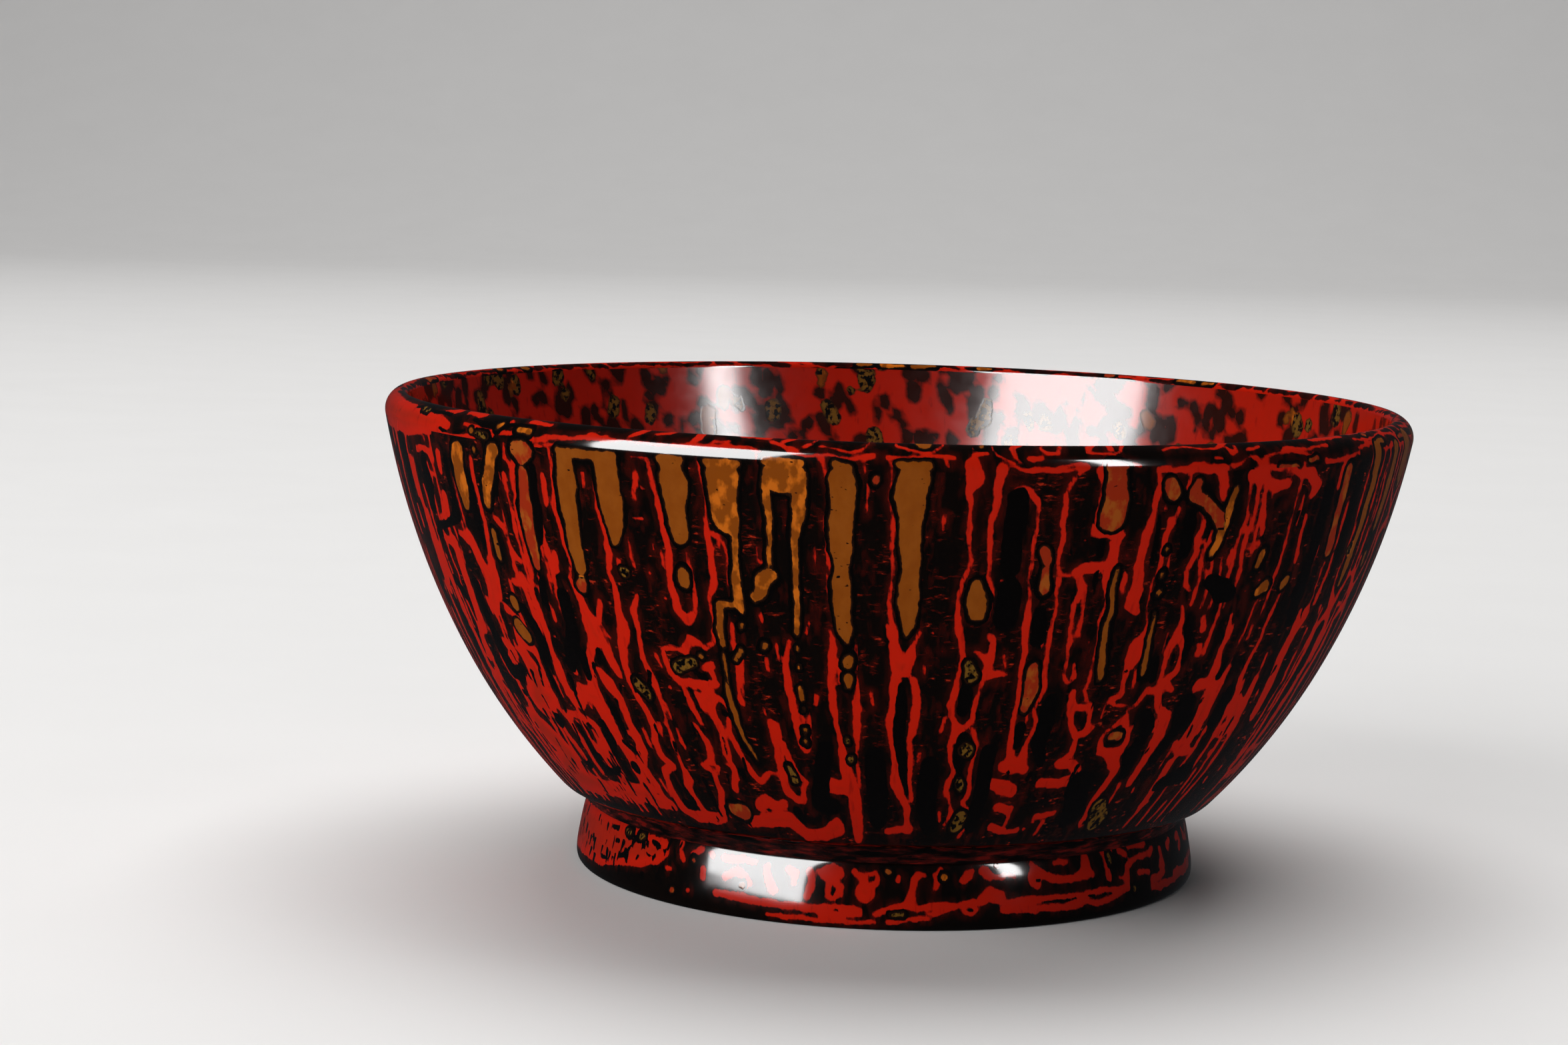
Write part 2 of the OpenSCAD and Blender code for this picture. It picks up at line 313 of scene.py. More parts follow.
CORES = [
    # the long drips under the front of the lip
    (OCHRE, [(-34.9, 56.2, 1.2), (-35, 51, 1.3), (-35, 48, 1), (-35.1, 43.5, 0.9)]),
    (OCHRE, [(-35.6, 57, 0.45), (-28.7, 57, 0.45)]),
    (OCHRE, [(-29.7, 56, 1.5), (-29.6, 52, 1.65), (-29.6, 49.5, 1.3), (-29.7, 47, 0.5)]),
    (OCHRE, [(-22.3, 56.2, 1.2), (-22.2, 54.6, 1.7), (-22.1, 50, 1.1), (-21.9, 48.2, 0.8)]),
    (GOLD, [(-17, 55.6, 1.9), (-16.8, 53, 1.65), (-16.75, 50.8, 1.5)]),
    (GOLD, [(-15.9, 50, 0.35), (-16, 46, 0.35), (-16.1, 43.5, 0.55), (-16, 40.5, 0.5)]),
    (GOLD, [(-16.1, 41, 0.35), (-18.2, 40.9, 0.4), (-18.7, 38, 0.4), (-18.6, 36, 0.3)]),
    (OCHRE, [(-18.8, 35, 0.14), (-18.8, 31, 0.2), (-18.6, 28.5, 0.4), (-18.4, 26, 0.35),
             (-17.6, 23.5, 0.2), (-16.8, 21.8, 0.14)]),
    (GOLD, [(-11.6, 56, 1.4), (-9.9, 56, 1.4)]),
    (GOLD, [(-12, 55.2, 0.9), (-9.6, 55.2, 1)]),
    (GOLD, [(-12.6, 55.5, 0.55), (-12.4, 52, 0.35), (-12.35, 46, 0.2)]),
    (GOLD, [(-9.2, 56, 0.8), (-9.3, 52, 0.7), (-9.8, 49, 0.45), (-9.9, 44, 0.3), (-9.95, 38, 0.3)]),
    (GOLD, [(-12.4, 44.5, 0.7), (-13.2, 43.8, 1), (-13.6, 42.3, 0.6), (-14.3, 41.8, 0.5)]),
    (OCHRE, [(-5, 57.1, 0.75), (-5.1, 55.7, 1.5), (-5.1, 52.5, 1.25), (-5, 48, 1.4), (-5.1, 46, 0.9),
             (-5.1, 44, 1.1), (-5, 41, 1.2), (-4.7, 38.5, 0.9), (-4.6, 37.3, 0.4)]),
    (OCHRE, [(1.9, 56.4, 1.6), (1.6, 55, 1.7), (1.7, 51, 1.25), (1.8, 46, 1), (1.75, 42.5, 1.15),
             (1.75, 39.8, 0.8), (1.7, 38.3, 0.3)]),
    (OCHRE, [(8.7, 44.2, 0.7), (8.9, 42.5, 1.1), (9.1, 41, 0.8)]),
    # short drips and spots
    (BRICK, [(-35.3, 41.3, 0.9)]),
    (OCHRE, [(-22.1, 44, 0.65), (-22.1, 43, 0.6)]),
    (DULL, [(-29.2, 43.7, 0.6)]),
    (GOLD, [(-9.9, 36.2, 0.25)]),
    (GOLD, [(-9.8, 34, 0.32)]),
    (GOLD, [(-9.9, 31.5, 0.3), (-9.95, 30, 0.35)]),
    (OCHRE, [(-9.9, 28.5, 0.22)]),
    (OCHRE, [(-9.8, 26, 0.3)]),
    (OCHRE, [(-9.8, 24.6, 0.3)]),
    (OCHRE, [(-4.5, 35, 0.6), (-4.6, 34.5, 0.5)]),
    (OCHRE, [(-4.5, 32.9, 0.55), (-4.5, 32, 0.35)]),
    (DULL, [(-4.8, 25, 0.35)]),
    (DULL, [(-4.3, 22.6, 0.4)]),
    (DULL, [(8.6, 34.9, 0.5), (9.1, 33.6, 0.8)]),
    (DULL, [(9.9, 24.3, 0.85)]),
    (DULL, [(9.6, 19.9, 0.5), (10.1, 19.2, 0.5)]),
    (DULL, [(11, 15, 1), (10.7, 13.8, 1)]),
    (OCHRE, [(-16.5, 35.5, 0.35), (-17.4, 34.5, 0.3)]),
    (DULL, [(-24.8, 32.7, 0.6), (-22.6, 33.5, 0.5)]),
    (OCHRE, [(-21.5, 34.4, 0.35)]),
    (DULL, [(-12.6, 21, 0.3), (-12.1, 19.5, 0.55)]),
    (DULL, [(-31, 30, 0.6), (-29.8, 28.8, 0.6)]),
    (BRICK, [(-1.8, 56, 0.45)]),
    (OCHRE, [(-16.1, 38.4, 0.3)]),
    (OCHRE, [(-13.6, 36.4, 0.3), (-13.8, 35.9, 0.25)]),
    # left-hand side
    (GOLD, [(-52, 55.4, 1.1), (-52.3, 54, 1.3), (-52.3, 51, 1.2), (-52.3, 49, 0.7)]),
    (GOLD, [(-48.7, 55.9, 0.35)]),
    (GOLD, [(-45.3, 56.4, 0.8), (-46.1, 55, 0.8), (-47.2, 52, 1), (-48, 49.5, 0.6)]),
    (OCHRE, [(-48, 46, 0.5), (-48, 43, 0.4)]),
    (OCHRE, [(-47.7, 37.6, 0.9)]),
    (OCHRE, [(-48.6, 34.4, 1.1), (-47.6, 33.4, 0.8)]),
    (BRICK, [(-41.6, 56.5, 0.9), (-40.1, 56.6, 0.9), (-41, 55.8, 0.9)]),
    (BRICK, [(-41, 54, 0.6), (-41.4, 50, 1.1), (-41.6, 46, 0.9), (-41.7, 43, 0.6)]),
    # right-hand side
    (BRICK, [(22.1, 57.1, 1.1), (22.3, 54, 1.4), (22, 52, 1.45)]),
    (BRICK, [(27.8, 56, 0.8), (28.4, 54.8, 0.9)]),
    (BRICK, [(31.5, 56, 0.5), (31, 54.5, 0.8), (32.5, 53.8, 0.7), (34, 52.2, 0.7), (35.2, 50.8, 0.9)]),
    (GOLD, [(36.2, 55, 0.4), (35.8, 52.5, 0.5), (35.5, 50.5, 0.6), (35.2, 48.5, 0.5),
            (34.8, 47.5, 0.4)]),
    (BRICK, [(15.5, 48.3, 0.6), (15.7, 47.2, 0.5)]),
    (BRICK, [(15.6, 45.8, 0.5), (15.9, 44, 0.7)]),
    (BRICK, [(16.2, 34.5, 0.7), (16.3, 32, 0.95), (16.1, 29.5, 0.6)]),
    (OCHRE, [(23.6, 46, 0.2), (23.6, 42, 0.3), (23.8, 38, 0.3), (24.2, 34.5, 0.5), (24.6, 33, 0.3)]),
    (OCHRE, [(28.9, 48.2, 0.25)]),
    (OCHRE, [(29, 45.2, 0.35)]),
    (OCHRE, [(29.1, 43.1, 0.4)]),
    (OCHRE, [(29.3, 40.5, 0.2), (29.4, 38, 0.2), (29.7, 34.7, 0.45), (30, 33, 0.2)]),
    (GOLD, [(42.2, 47, 0.5), (42, 45.6, 0.45)]),
    (GOLD, [(43.3, 42.4, 0.5), (44.3, 43, 0.7)]),
    (OCHRE, [(47.2, 42.8, 0.5), (47.7, 43.3, 0.5)]),
    (BRICK, [(28.8, 25.3, 0.55), (29.8, 25.3, 0.55)]),
    (DULL, [(32.5, 15.5, 1.2), (34, 13.6, 1.5)]),
    (BRICK, [(-22.5, 14.5, 0.9), (-21, 14.2, 1.2)]),
    (DULL, [(60.6, 46, 1)]),
    (BRICK, [(54.2, 56, 0.7), (54, 50, 0.7), (54.4, 46.5, 0.8)]),
]

# The flat tops of the front drips: kind, azimuth, top in mm, half width in mm
TOPS = [
    (OCHRE, -22.4, 57.6, 1.65),
    (GOLD, -17, 57.5, 2.1),
    (GOLD, -10.8, 57.9, 2.4),
    (OCHRE, -5.1, 57.9, 1.15),
    (OCHRE, 1.8, 58.2, 1.9),
    (BRICK, 22.1, 58.2, 1.3),
    (OCHRE, -29.7, 57.4, 1.6),
]
TOP_EDGE = 0.45

BLACKS = [
    [(1.5, 32, 0.5), (1.6, 29, 0.9), (1.5, 26, 0.9), (2.3, 22, 0.7), (2.9, 18, 0.3)],
    [(8.9, 31.5, 1), (8.9, 29.5, 0.9)],
    [(9.2, 26, 0.7), (9.2, 23, 0.9), (9.6, 21.5, 0.5)],
    [(12, 54.3, 1.2), (12, 46.5, 1.2)],
    [(12.1, 43.5, 1.6), (12.1, 40.8, 1.6)],
    [(15.8, 41, 0.8), (16, 38, 0.8)],
    [(16.1, 27, 0.9), (16.1, 24.8, 0.6)],
    [(16, 21.2, 0.3)],
    [(21.2, 49.2, 0.5), (21.2, 48, 0.5)],
    [(21.2, 46, 0.3), (21.2, 44.5, 0.4)],
    [(31, 52, 0.9), (31.2, 48, 0.9)],
    [(27.2, 52, 0.3), (27.4, 47, 0.4)],
    [(33.4, 35.6, 0.3), (33.5, 34.2, 0.3)],
    [(42.3, 33.8, 0.4), (42.2, 32, 0.6)],
    [(38.5, 28.5, 1.8), (39, 26, 1.2), (37.6, 22, 1)],
    [(45.5, 30, 0.9), (45.5, 26.5, 1.6)],
    [(32.5, 28, 1), (34.2, 26, 0.9), (33, 23, 1.2), (34, 20, 0.9)],
    [(31.5, 35, 0.5), (31.6, 32.5, 0.6)],
    [(34.3, 39, 0.5), (35, 37, 0.8), (35.2, 34.5, 0.4)],
    [(51, 54, 1.2), (51, 46, 1), (51, 42, 1.4), (51.5, 38, 1)],
    [(57.3, 56, 0.9), (57, 48, 1), (57.5, 43, 0.8)],
    [(35.5, 44, 1), (37.5, 43, 1.6), (39, 42.5, 1)],
    [(42, 18, 1.2), (46, 19, 1.5)],
    [(19, 30, 1.2), (19, 25, 1.2), (20, 22.5, 0.8)],
    [(5.5, 22, 1.4), (5.8, 17, 1.6), (6.5, 14, 1.4)],
    [(-1.5, 23, 1.4), (-1, 18, 1.7), (-1, 14.5, 1.4)],
    [(-7.5, 24, 1), (-9, 16.5, 1.4), (-7, 16, 1.2)],
    [(27, 19, 2), (28.5, 15, 2)],
    [(12.8, 24, 1.2), (13, 17, 1.3), (13, 13.5, 1)],
    # dark slots in the red of the left-hand side
    [(-61, 53.5, 0.8), (-60.8, 50, 1.3), (-61.5, 47.5, 1)],
    [(-55, 54, 0.6), (-54.8, 50, 0.7), (-55, 47.5, 1), (-57, 46, 0.5), (-60, 45.5, 0.5),
     (-62, 44, 0.6)],
    [(-55.4, 39, 1), (-55.6, 35, 1), (-55.6, 31, 1.2), (-55.2, 28.3, 1.4), (-53.5, 27.8, 1),
     (-52, 29, 0.6)],
    [(-68, 54.5, 1.6), (-67.8, 48, 0.9)],
    [(-50.3, 53, 0.4), (-50.6, 48, 0.8), (-50.7, 44, 0.5)],
    [(-45, 56.5, 0.3), (-45.2, 53, 0.5), (-46, 51, 0.7)],
    [(-39.6, 54.5, 0.6), (-39.6, 49, 0.8), (-40.2, 46, 0.5)],
    [(-61.5, 38.5, 0.8), (-60, 37, 0.8)],
    [(-46, 37, 0.8), (-45, 33, 1.1), (-45.7, 31, 0.9)],
    [(-45.9, 28.8, 0.6), (-46, 27, 0.6)],
    [(-41.5, 41, 0.7), (-41.8, 38, 0.6)],
    [(-38.5, 39.5, 1.2), (-38.5, 36, 1.2), (-39.8, 33, 1.4), (-41, 31, 0.8)],
    [(-38.4, 32.5, 0.9), (-38.6, 29.7, 0.6)],
    [(-42.2, 29.3, 0.6), (-42.1, 27.3, 0.4)],
    [(-48.7, 23, 0.9), (-49.5, 22.5, 0.7)],
    [(-42.3, 23.2, 0.5)],
    [(-37.2, 18.3, 0.9)],
    [(-44.7, 22.5, 0.6), (-44.8, 19, 0.6), (-44.2, 17, 0.6), (-42, 17.2, 0.4), (-40.8, 18, 0.4)],
    [(-39.4, 24, 0.6), (-39.4, 21.5, 1), (-40, 19.8, 0.5)],
    [(-47.5, 17.5, 0.5), (-48.3, 17, 0.4)],
    [(-52.5, 16.8, 0.5)],
    [(-55, 25.3, 0.5)],
    [(-58.5, 22.5, 0.8)],
    [(-36, 26, 0.6), (-35.8, 23.5, 0.5)],
    [(-35.6, 33.6, 0.5), (-36, 32, 0.4)],
    [(-30.6, 14.3, 0.8), (-29.5, 14.2, 0.6)],
    [(-22.3, 32, 0.4), (-21.5, 31.8, 0.4)],
    [(-19.9, 27.5, 0.5)],
    [(-12.7, 15.2, 0.7), (-12, 14, 0.6)],
]

REDS = [
    # round and between the drips, from left to right
    [(-37, 57, 0.3), (-36.6, 54, 0.35), (-36.9, 50.5, 0.5), (-36.6, 47, 0.4), (-36.5, 44, 0.3),
     (-36.8, 42.3, 0.3), (-36, 39.5, 0.6), (-35.5, 37, 1.2), (-35.3, 35.3, 1.3)],
    [(-36.2, 34.3, 0.8), (-37.5, 32, 0.6), (-38, 29.5, 0.6), (-37.8, 26, 0.8), (-37.5, 22, 0.8),
     (-37, 15, 1)],
    [(-34.4, 34.5, 0.7), (-33.8, 32.5, 0.7), (-33.3, 31, 0.6)],
    [(-34.3, 37, 0.4), (-33.2, 39.7, 0.5)],
    [(-36.3, 31, 0.5), (-35.5, 29.5, 1), (-34.5, 27.5, 0.6), (-34.3, 24, 0.6), (-34.2, 21.5, 0.8),
     (-35.6, 19, 0.8), (-34.8, 16.5, 0.7), (-36.8, 15, 0.5)],
    [(-31.6, 54, 0.12), (-31.4, 51, 0.3), (-31, 48, 0.4), (-30.6, 45.5, 0.5), (-31.2, 43.5, 0.4),
     (-30.9, 41, 0.5), (-30.8, 38.5, 0.55), (-31, 36.5, 1), (-31.5, 34.3, 0.7), (-32.1, 32, 0.5),
     (-32.1, 30, 0.5), (-31.6, 28.5, 0.5), (-30.9, 26.5, 0.5), (-30.4, 24.5, 0.7), (-31.3, 22.5, 0.5),
     (-31.2, 20.5, 0.6), (-30, 19.5, 0.5), (-31.8, 18.5, 0.5), (-32.3, 16, 0.7), (-32, 13.5, 0.8),
     (-30, 12.8, 0.9), (-27, 12.7, 0.8), (-25, 13, 0.6), (-24.3, 15, 0.6), (-23.5, 16.8, 0.5),
     (-23.8, 19.5, 0.35), (-25, 20.3, 0.3)],
    [(-28.1, 48, 0.15), (-28.1, 45.5, 0.3), (-27.8, 44.2, 0.2)],
    [(-28.2, 41, 0.3), (-28.8, 39, 0.5), (-29.1, 36, 0.45), (-29.1, 33, 0.4), (-28.7, 31, 0.5),
     (-28.2, 29, 0.35), (-28.3, 26.5, 0.2), (-28.2, 23, 0.2), (-28.3, 19.5, 0.3), (-29, 17, 0.5),
     (-28.5, 15, 0.5), (-28, 13, 0.6)],
    [(-26.1, 54.7, 0.35), (-26.5, 53.5, 0.4)],
    [(-27, 50.1, 0.25), (-26.1, 50.1, 0.3)],
    [(-25.9, 43.8, 0.35)],
    [(-26.5, 56.9, 0.25), (-24.8, 56.7, 0.35), (-24.2, 53, 0.35), (-23.8, 50, 0.4), (-23.4, 46.5, 0.5),
     (-23.6, 42, 0.5), (-23.3, 39.5, 0.6), (-22.2, 38.5, 0.6), (-21.3, 39.6, 0.45), (-21, 42, 0.35),
     (-21.2, 43.5, 0.3), (-21.1, 46.5, 0.25)],
    [(-19.3, 56.9, 0.3), (-18.7, 53, 0.22), (-18.9, 49.6, 0.3), (-18.7, 47, 0.6), (-18.7, 43.5, 0.6),
     (-19.3, 41.5, 0.35), (-19.3, 38, 0.3), (-19.7, 36.3, 0.3), (-20.8, 35.5, 0.3), (-22, 36.2, 0.5)],
    [(-18.3, 48.9, 0.3), (-17.4, 48.6, 0.3), (-16.9, 47, 0.25), (-16.9, 43, 0.2)],
    [(-22.5, 36.7, 0.4), (-22.3, 36, 0.7), (-23.6, 34.8, 0.4), (-25.2, 35, 0.5), (-26, 34.5, 0.4),
     (-26, 32.2, 0.5), (-25, 31, 0.5), (-23, 30.8, 0.6), (-21, 31, 0.6), (-19.9, 31, 0.3)],
    [(-20.4, 33.5, 0.5), (-21.5, 33, 0.4)],
    [(-20.7, 33, 0.4), (-20.2, 31, 0.4)],
    [(-23, 29.5, 0.5), (-22, 28.5, 1.2), (-21.3, 29.3, 1.2)],
    [(-24.5, 30, 0.3), (-24, 28, 0.4), (-23.2, 26, 0.3)],
    [(-21.4, 27.5, 0.6), (-20.9, 25.5, 0.5), (-20.7, 22, 0.55), (-20.5, 19.5, 0.4), (-21, 17.5, 0.5)],
    [(-24.3, 25.8, 0.2), (-23.5, 24.5, 0.4), (-23, 22.5, 0.5), (-23.4, 21, 0.5), (-24.8, 20.3, 0.3)],
    [(-19.9, 29.3, 0.25), (-19.2, 28, 0.25), (-19.6, 26.3, 0.3), (-19.9, 25, 0.3), (-19.2, 23.5, 0.3),
     (-18.5, 21.8, 0.35), (-17.8, 20, 0.5), (-17, 18.9, 0.5), (-16.1, 19.6, 0.5), (-15.2, 20.3, 0.3),
     (-14, 20.2, 0.2)],
    [(-17.2, 38.5, 0.3), (-17.3, 36.5, 0.4), (-17.1, 34.2, 0.5), (-17.3, 32.5, 0.35), (-17.4, 30, 0.3),
     (-17.2, 29, 0.4)],
    [(-16.5, 34.5, 0.4), (-16.8, 32.5, 0.15), (-16.9, 30, 0.12)],
    [(-16.8, 27.2, 0.4)],
    [(-14.2, 27, 0.4), (-13.8, 26.5, 0.8), (-13.5, 24, 0.7), (-13.6, 21.5, 0.6), (-13.6, 19, 0.5),
     (-13.2, 17.5, 0.5), (-12.3, 16.6, 0.5), (-11.3, 16.6, 0.5), (-11.1, 18, 0.4), (-10.4, 19.2, 0.4),
     (-11.5, 20.2, 0.4), (-12.2, 22, 0.4), (-12.8, 24, 0.4)],
    [(-18, 15.5, 0.8), (-17, 16.3, 0.8), (-15.5, 15.5, 0.8), (-14.3, 16, 0.6)],
    [(-20.5, 12.6, 0.7), (-17, 13.5, 1.1), (-14, 13.8, 1), (-12, 12, 0.9), (-9, 12, 0.9),
     (-6.8, 13.2, 1.2)],
    [(-13.4, 58, 0.25), (-12.95, 55, 0.22), (-12.9, 51, 0.2), (-12.75, 46, 0.3), (-13.8, 45.6, 0.2)],
    [(-10.8, 37, 0.25), (-11.4, 34.5, 0.5), (-11.3, 31, 0.6), (-11, 28, 0.5), (-10.5, 25.5, 0.6),
     (-10, 23.8, 0.7), (-9.3, 25, 0.3), (-9.3, 28, 0.2)],
    [(-6.9, 58, 0.3), (-6.4, 54.5, 0.25), (-6.6, 51, 0.3), (-6.5, 46, 0.3), (-6.7, 43.5, 0.15),
     (-6.6, 41.5, 0.12)],
    [(-6.4, 38.8, 0.2), (-6.1, 36.5, 0.5), (-6.3, 33, 0.5), (-6.4, 29.5, 0.5), (-5.9, 26, 0.4),
     (-5.4, 23, 0.6), (-4.9, 20.5, 0.9), (-4.3, 18, 0.9), (-3.9, 15, 0.9), (-3.8, 12, 0.8)],
    [(-8, 19.3, 1), (-5, 18.8, 1)],
    [(-3.7, 37, 0.12), (-3.6, 34, 0.2), (-3.5, 30.5, 0.45), (-3.5, 27, 0.5), (-3.6, 23, 0.2),
     (-3.4, 19, 0.25)],
    [(-2.9, 58, 0.2), (-2.8, 55.5, 0.15), (-2.5, 55, 0.25), (-2.6, 52, 0.2)],
    [(-0.3, 58, 0.25), (-0.25, 53, 0.2), (0.05, 49, 0.35), (0.1, 45, 0.2), (-0.1, 42, 0.3),
     (0.2, 39, 0.5), (0.6, 36.5, 0.8), (0.9, 34.5, 1)],
    [(3.1, 39, 0.15), (2.8, 37, 0.4), (2.3, 35.5, 0.8), (1.5, 34.6, 1.4)],
    [(0.6, 33, 0.6), (0.5, 30, 0.5), (0.3, 27.5, 0.6), (0.7, 25.5, 0.5), (1.3, 22.5, 0.6),
     (1.4, 20, 0.9), (2, 18, 0.6), (3.2, 16.2, 0.5), (3.4, 14, 0.45)],
    [(2.8, 33, 0.5), (3.3, 30, 0.55), (3.1, 27, 0.5), (2.9, 25, 0.3), (3.2, 21, 0.3), (3.6, 17.5, 0.3)],
    [(0.5, 13, 0.5), (4, 13.2, 0.5)],
    [(7.2, 58, 0.9), (7.8, 56.4, 1.2), (7.1, 55, 0.5), (7.6, 53.5, 0.4), (7.6, 49, 0.35), (7.8, 47, 0.3),
     (7.1, 44.8, 0.35), (6.9, 42.5, 0.3), (7.2, 40, 0.5), (7.9, 37, 0.5), (8, 36, 0.4), (7.6, 33, 0.3),
     (7.6, 31.5, 0.5), (7.3, 30, 0.45), (7.9, 28.2, 0.35), (8.3, 27, 0.7), (7.9, 25, 0.4),
     (8.1, 23, 0.35), (8.8, 21.3, 0.3), (8.1, 20, 0.35), (8.1, 18.8, 0.4), (9, 17.2, 0.25),
     (9.4, 15.8, 0.3), (8.9, 14, 0.25)],
    [(10.4, 57.5, 0.8), (10, 55, 0.6), (9.7, 51, 0.4), (9.7, 48, 0.4), (9.8, 45.5, 0.35),
     (10.2, 43, 0.4), (10, 40.8, 0.4)],
    [(10.9, 38.5, 0.25), (11.2, 36.5, 0.6), (10.7, 34.5, 0.6), (10.4, 32.5, 0.3), (10.2, 30, 0.3),
     (10, 28, 0.4), (9, 27, 0.5)],
    [(10.6, 33.8, 0.6), (12.8, 33.7, 0.5)],
    [(9.4, 36.4, 0.3), (10.6, 35.5, 0.4)],
    [(10.2, 26.5, 0.3), (11.2, 25, 0.2), (10.8, 22, 0.25), (11, 20, 0.3), (11.4, 19, 0.3),
     (10.8, 17.3, 0.3), (12, 16, 0.25), (12.5, 14, 0.3), (11.6, 12, 0.3)],
    [(11.6, 55.6, 0.3), (13, 55.2, 0.45), (14.1, 53.8, 0.4), (14.3, 51, 0.3), (14.3, 49.5, 0.35),
     (14.1, 47, 0.25), (14, 45, 0.2), (14.4, 43, 0.3), (14.6, 39, 0.6), (15, 36.5, 0.4),
     (14.8, 33, 0.25), (14.9, 30, 0.3), (15, 27.5, 0.35), (15.2, 25, 0.5), (15.9, 22.8, 0.7)],
    [(11, 45, 0.25), (14, 45.1, 0.25)],
    [(12, 53.3, 0.45), (12, 52.3, 0.35)],
    [(11.9, 50.9, 0.3), (12.1, 49.3, 0.5)],
    [(18.5, 57.7, 0.35), (17.2, 55.8, 0.35), (16.6, 54.5, 0.35), (16.9, 52, 0.5), (17.2, 50, 0.45),
     (16.9, 47.5, 0.4), (17.1, 45.8, 0.35), (18.3, 45.5, 0.3)],
    [(17.2, 45, 0.3), (17.3, 42, 0.3), (17.1, 39, 0.35), (17.5, 36, 0.35), (17.8, 32, 0.35),
     (17.4, 29.5, 0.2), (17.9, 27.5, 0.35), (17.4, 25, 0.25), (17.6, 22.5, 0.6)],
    [(15.2, 22, 0.8), (16.5, 22, 1), (18, 21.5, 0.6)],
    [(14, 19.7, 0.7), (16, 19, 1.1), (17.3, 18.6, 0.7)],
    [(16, 16.3, 0.6), (18, 16, 0.7)],
    [(16, 13.5, 0.5), (17.8, 13, 0.5), (20.5, 13, 0.3)],
    [(11.2, 57.8, 0.2), (13, 57.3, 0.25), (17, 57.4, 0.25), (18.6, 57.8, 0.4)],
    [(20, 57.5, 0.5), (20.8, 55.8, 0.3), (20.6, 54, 0.3), (20.1, 51, 0.4), (20.2, 50.3, 0.5),
     (23.2, 50, 0.6)],
    [(22.9, 50, 0.7), (22.8, 46.5, 0.9), (22.6, 44.5, 0.7), (23, 42.5, 0.3), (22.6, 41, 0.3),
     (23, 38.5, 0.3), (23.3, 36.5, 0.3), (22.9, 34.5, 0.2), (23.3, 32.5, 0.2), (23, 31.5, 0.3),
     (23.6, 30.7, 0.3)],
    [(19, 46, 0.6), (20.5, 46.5, 0.8), (22.2, 46.8, 0.6)],
    [(19.2, 45.5, 0.5), (20, 44, 0.7), (19.4, 42, 0.35), (19.6, 38.5, 0.3), (19.8, 36, 0.3),
     (19.8, 33.5, 0.3), (20.4, 32.7, 0.3), (21.1, 33.3, 0.3), (20.8, 35, 0.2)],
    [(20.2, 44, 0.3), (20.4, 41, 0.25), (20.6, 38, 0.3)],
    [(21.5, 31.3, 0.5), (21.9, 29.7, 0.5), (22.3, 27.5, 0.4), (23.5, 25.8, 0.5), (25, 26.2, 0.6),
     (25.8, 26.9, 0.3)],
    [(22.3, 29.5, 0.35), (24.5, 29.4, 0.35), (24.9, 26.8, 0.5)],
    [(23.9, 25, 0.4), (23.9, 23.3, 0.5), (22.6, 22.2, 0.6), (24.5, 22, 0.6), (25.8, 21, 0.5),
     (25.3, 19.7, 0.7), (21, 19.5, 0.6)],
    [(22.5, 14.8, 0.4), (25, 15.3, 0.4)],
    [(24.6, 45.5, 0.35), (24.5, 43.5, 0.3)],
    [(26.3, 57.5, 0.3), (26.6, 55, 0.5), (26.6, 53, 0.4), (26.2, 50, 0.6), (26, 47, 0.6), (26.2, 44, 1),
     (26, 42, 1), (26.8, 41, 0.6)],
    [(27, 57.4, 0.3), (31, 57.3, 0.4), (34, 57, 0.7), (34.5, 55.5, 0.7)],
    [(30.2, 56.8, 0.4), (30, 55, 0.3)],
    [(34.5, 55, 0.6), (34.8, 54, 0.4)],
    [(28.7, 51.5, 0.6), (28.3, 49, 0.5), (28.6, 46.5, 0.5), (28, 44.3, 0.25), (28.1, 41.5, 0.2),
     (28.6, 39, 0.25)],
    [(32, 52.8, 0.2), (32.8, 51, 0.4), (32.5, 49.3, 0.6), (32.7, 47.5, 0.5), (31.9, 45.5, 0.4),
     (32.3, 44, 0.4), (33, 43.3, 0.3)],
    [(33.2, 48.6, 0.3), (34.3, 48.6, 0.3)],
    [(33.6, 46.5, 0.3), (34.7, 45.5, 0.3), (34.9, 44.3, 0.3)],
    [(28.6, 38.5, 0.3), (28, 37.2, 0.9), (28, 35.5, 1.1), (27.6, 33.8, 0.5), (27.6, 32, 0.3),
     (28, 30.8, 0.4), (26.8, 30.2, 0.4), (27.5, 29.4, 0.2), (29, 29.3, 0.3), (30.2, 29.1, 0.3),
     (30.8, 30.2, 0.4), (31.3, 31, 0.5), (33, 31, 0.5), (34.4, 28.6, 0.6), (36.2, 27.5, 0.8),
     (36.4, 25, 1.1), (36, 22.5, 0.7), (35.8, 18.5, 0.5)],
    [(29, 33.5, 0.5), (29.3, 31.5, 0.3)],
    [(32.6, 41.5, 0.15), (33.2, 39.5, 0.5), (32.8, 37.5, 0.6), (32.6, 34.5, 0.3), (32.8, 32, 0.4)],
    [(33.2, 38, 0.5), (34, 37, 0.5), (34.6, 35.5, 0.4), (34.8, 33.5, 0.6), (33.4, 31.7, 0.7),
     (35.2, 31, 0.4)],
    [(36.2, 39.5, 0.5), (36.6, 38.3, 0.6)],
    [(37, 36.2, 0.4), (37.1, 35.4, 0.5)],
    [(38, 56.5, 0.8), (39.3, 56.3, 1), (39.6, 57.8, 0.6)],
    [(38, 49.9, 0.2), (39.6, 49.9, 0.25)],
    [(39.7, 48, 0.4), (41, 48.2, 0.5)],
    [(37.6, 47.5, 0.45), (37.4, 46.3, 0.4)],
    [(37.7, 44.8, 0.3)],
    [(40.5, 55.5, 0.6), (42, 55, 0.9), (43.5, 55.3, 0.8)],
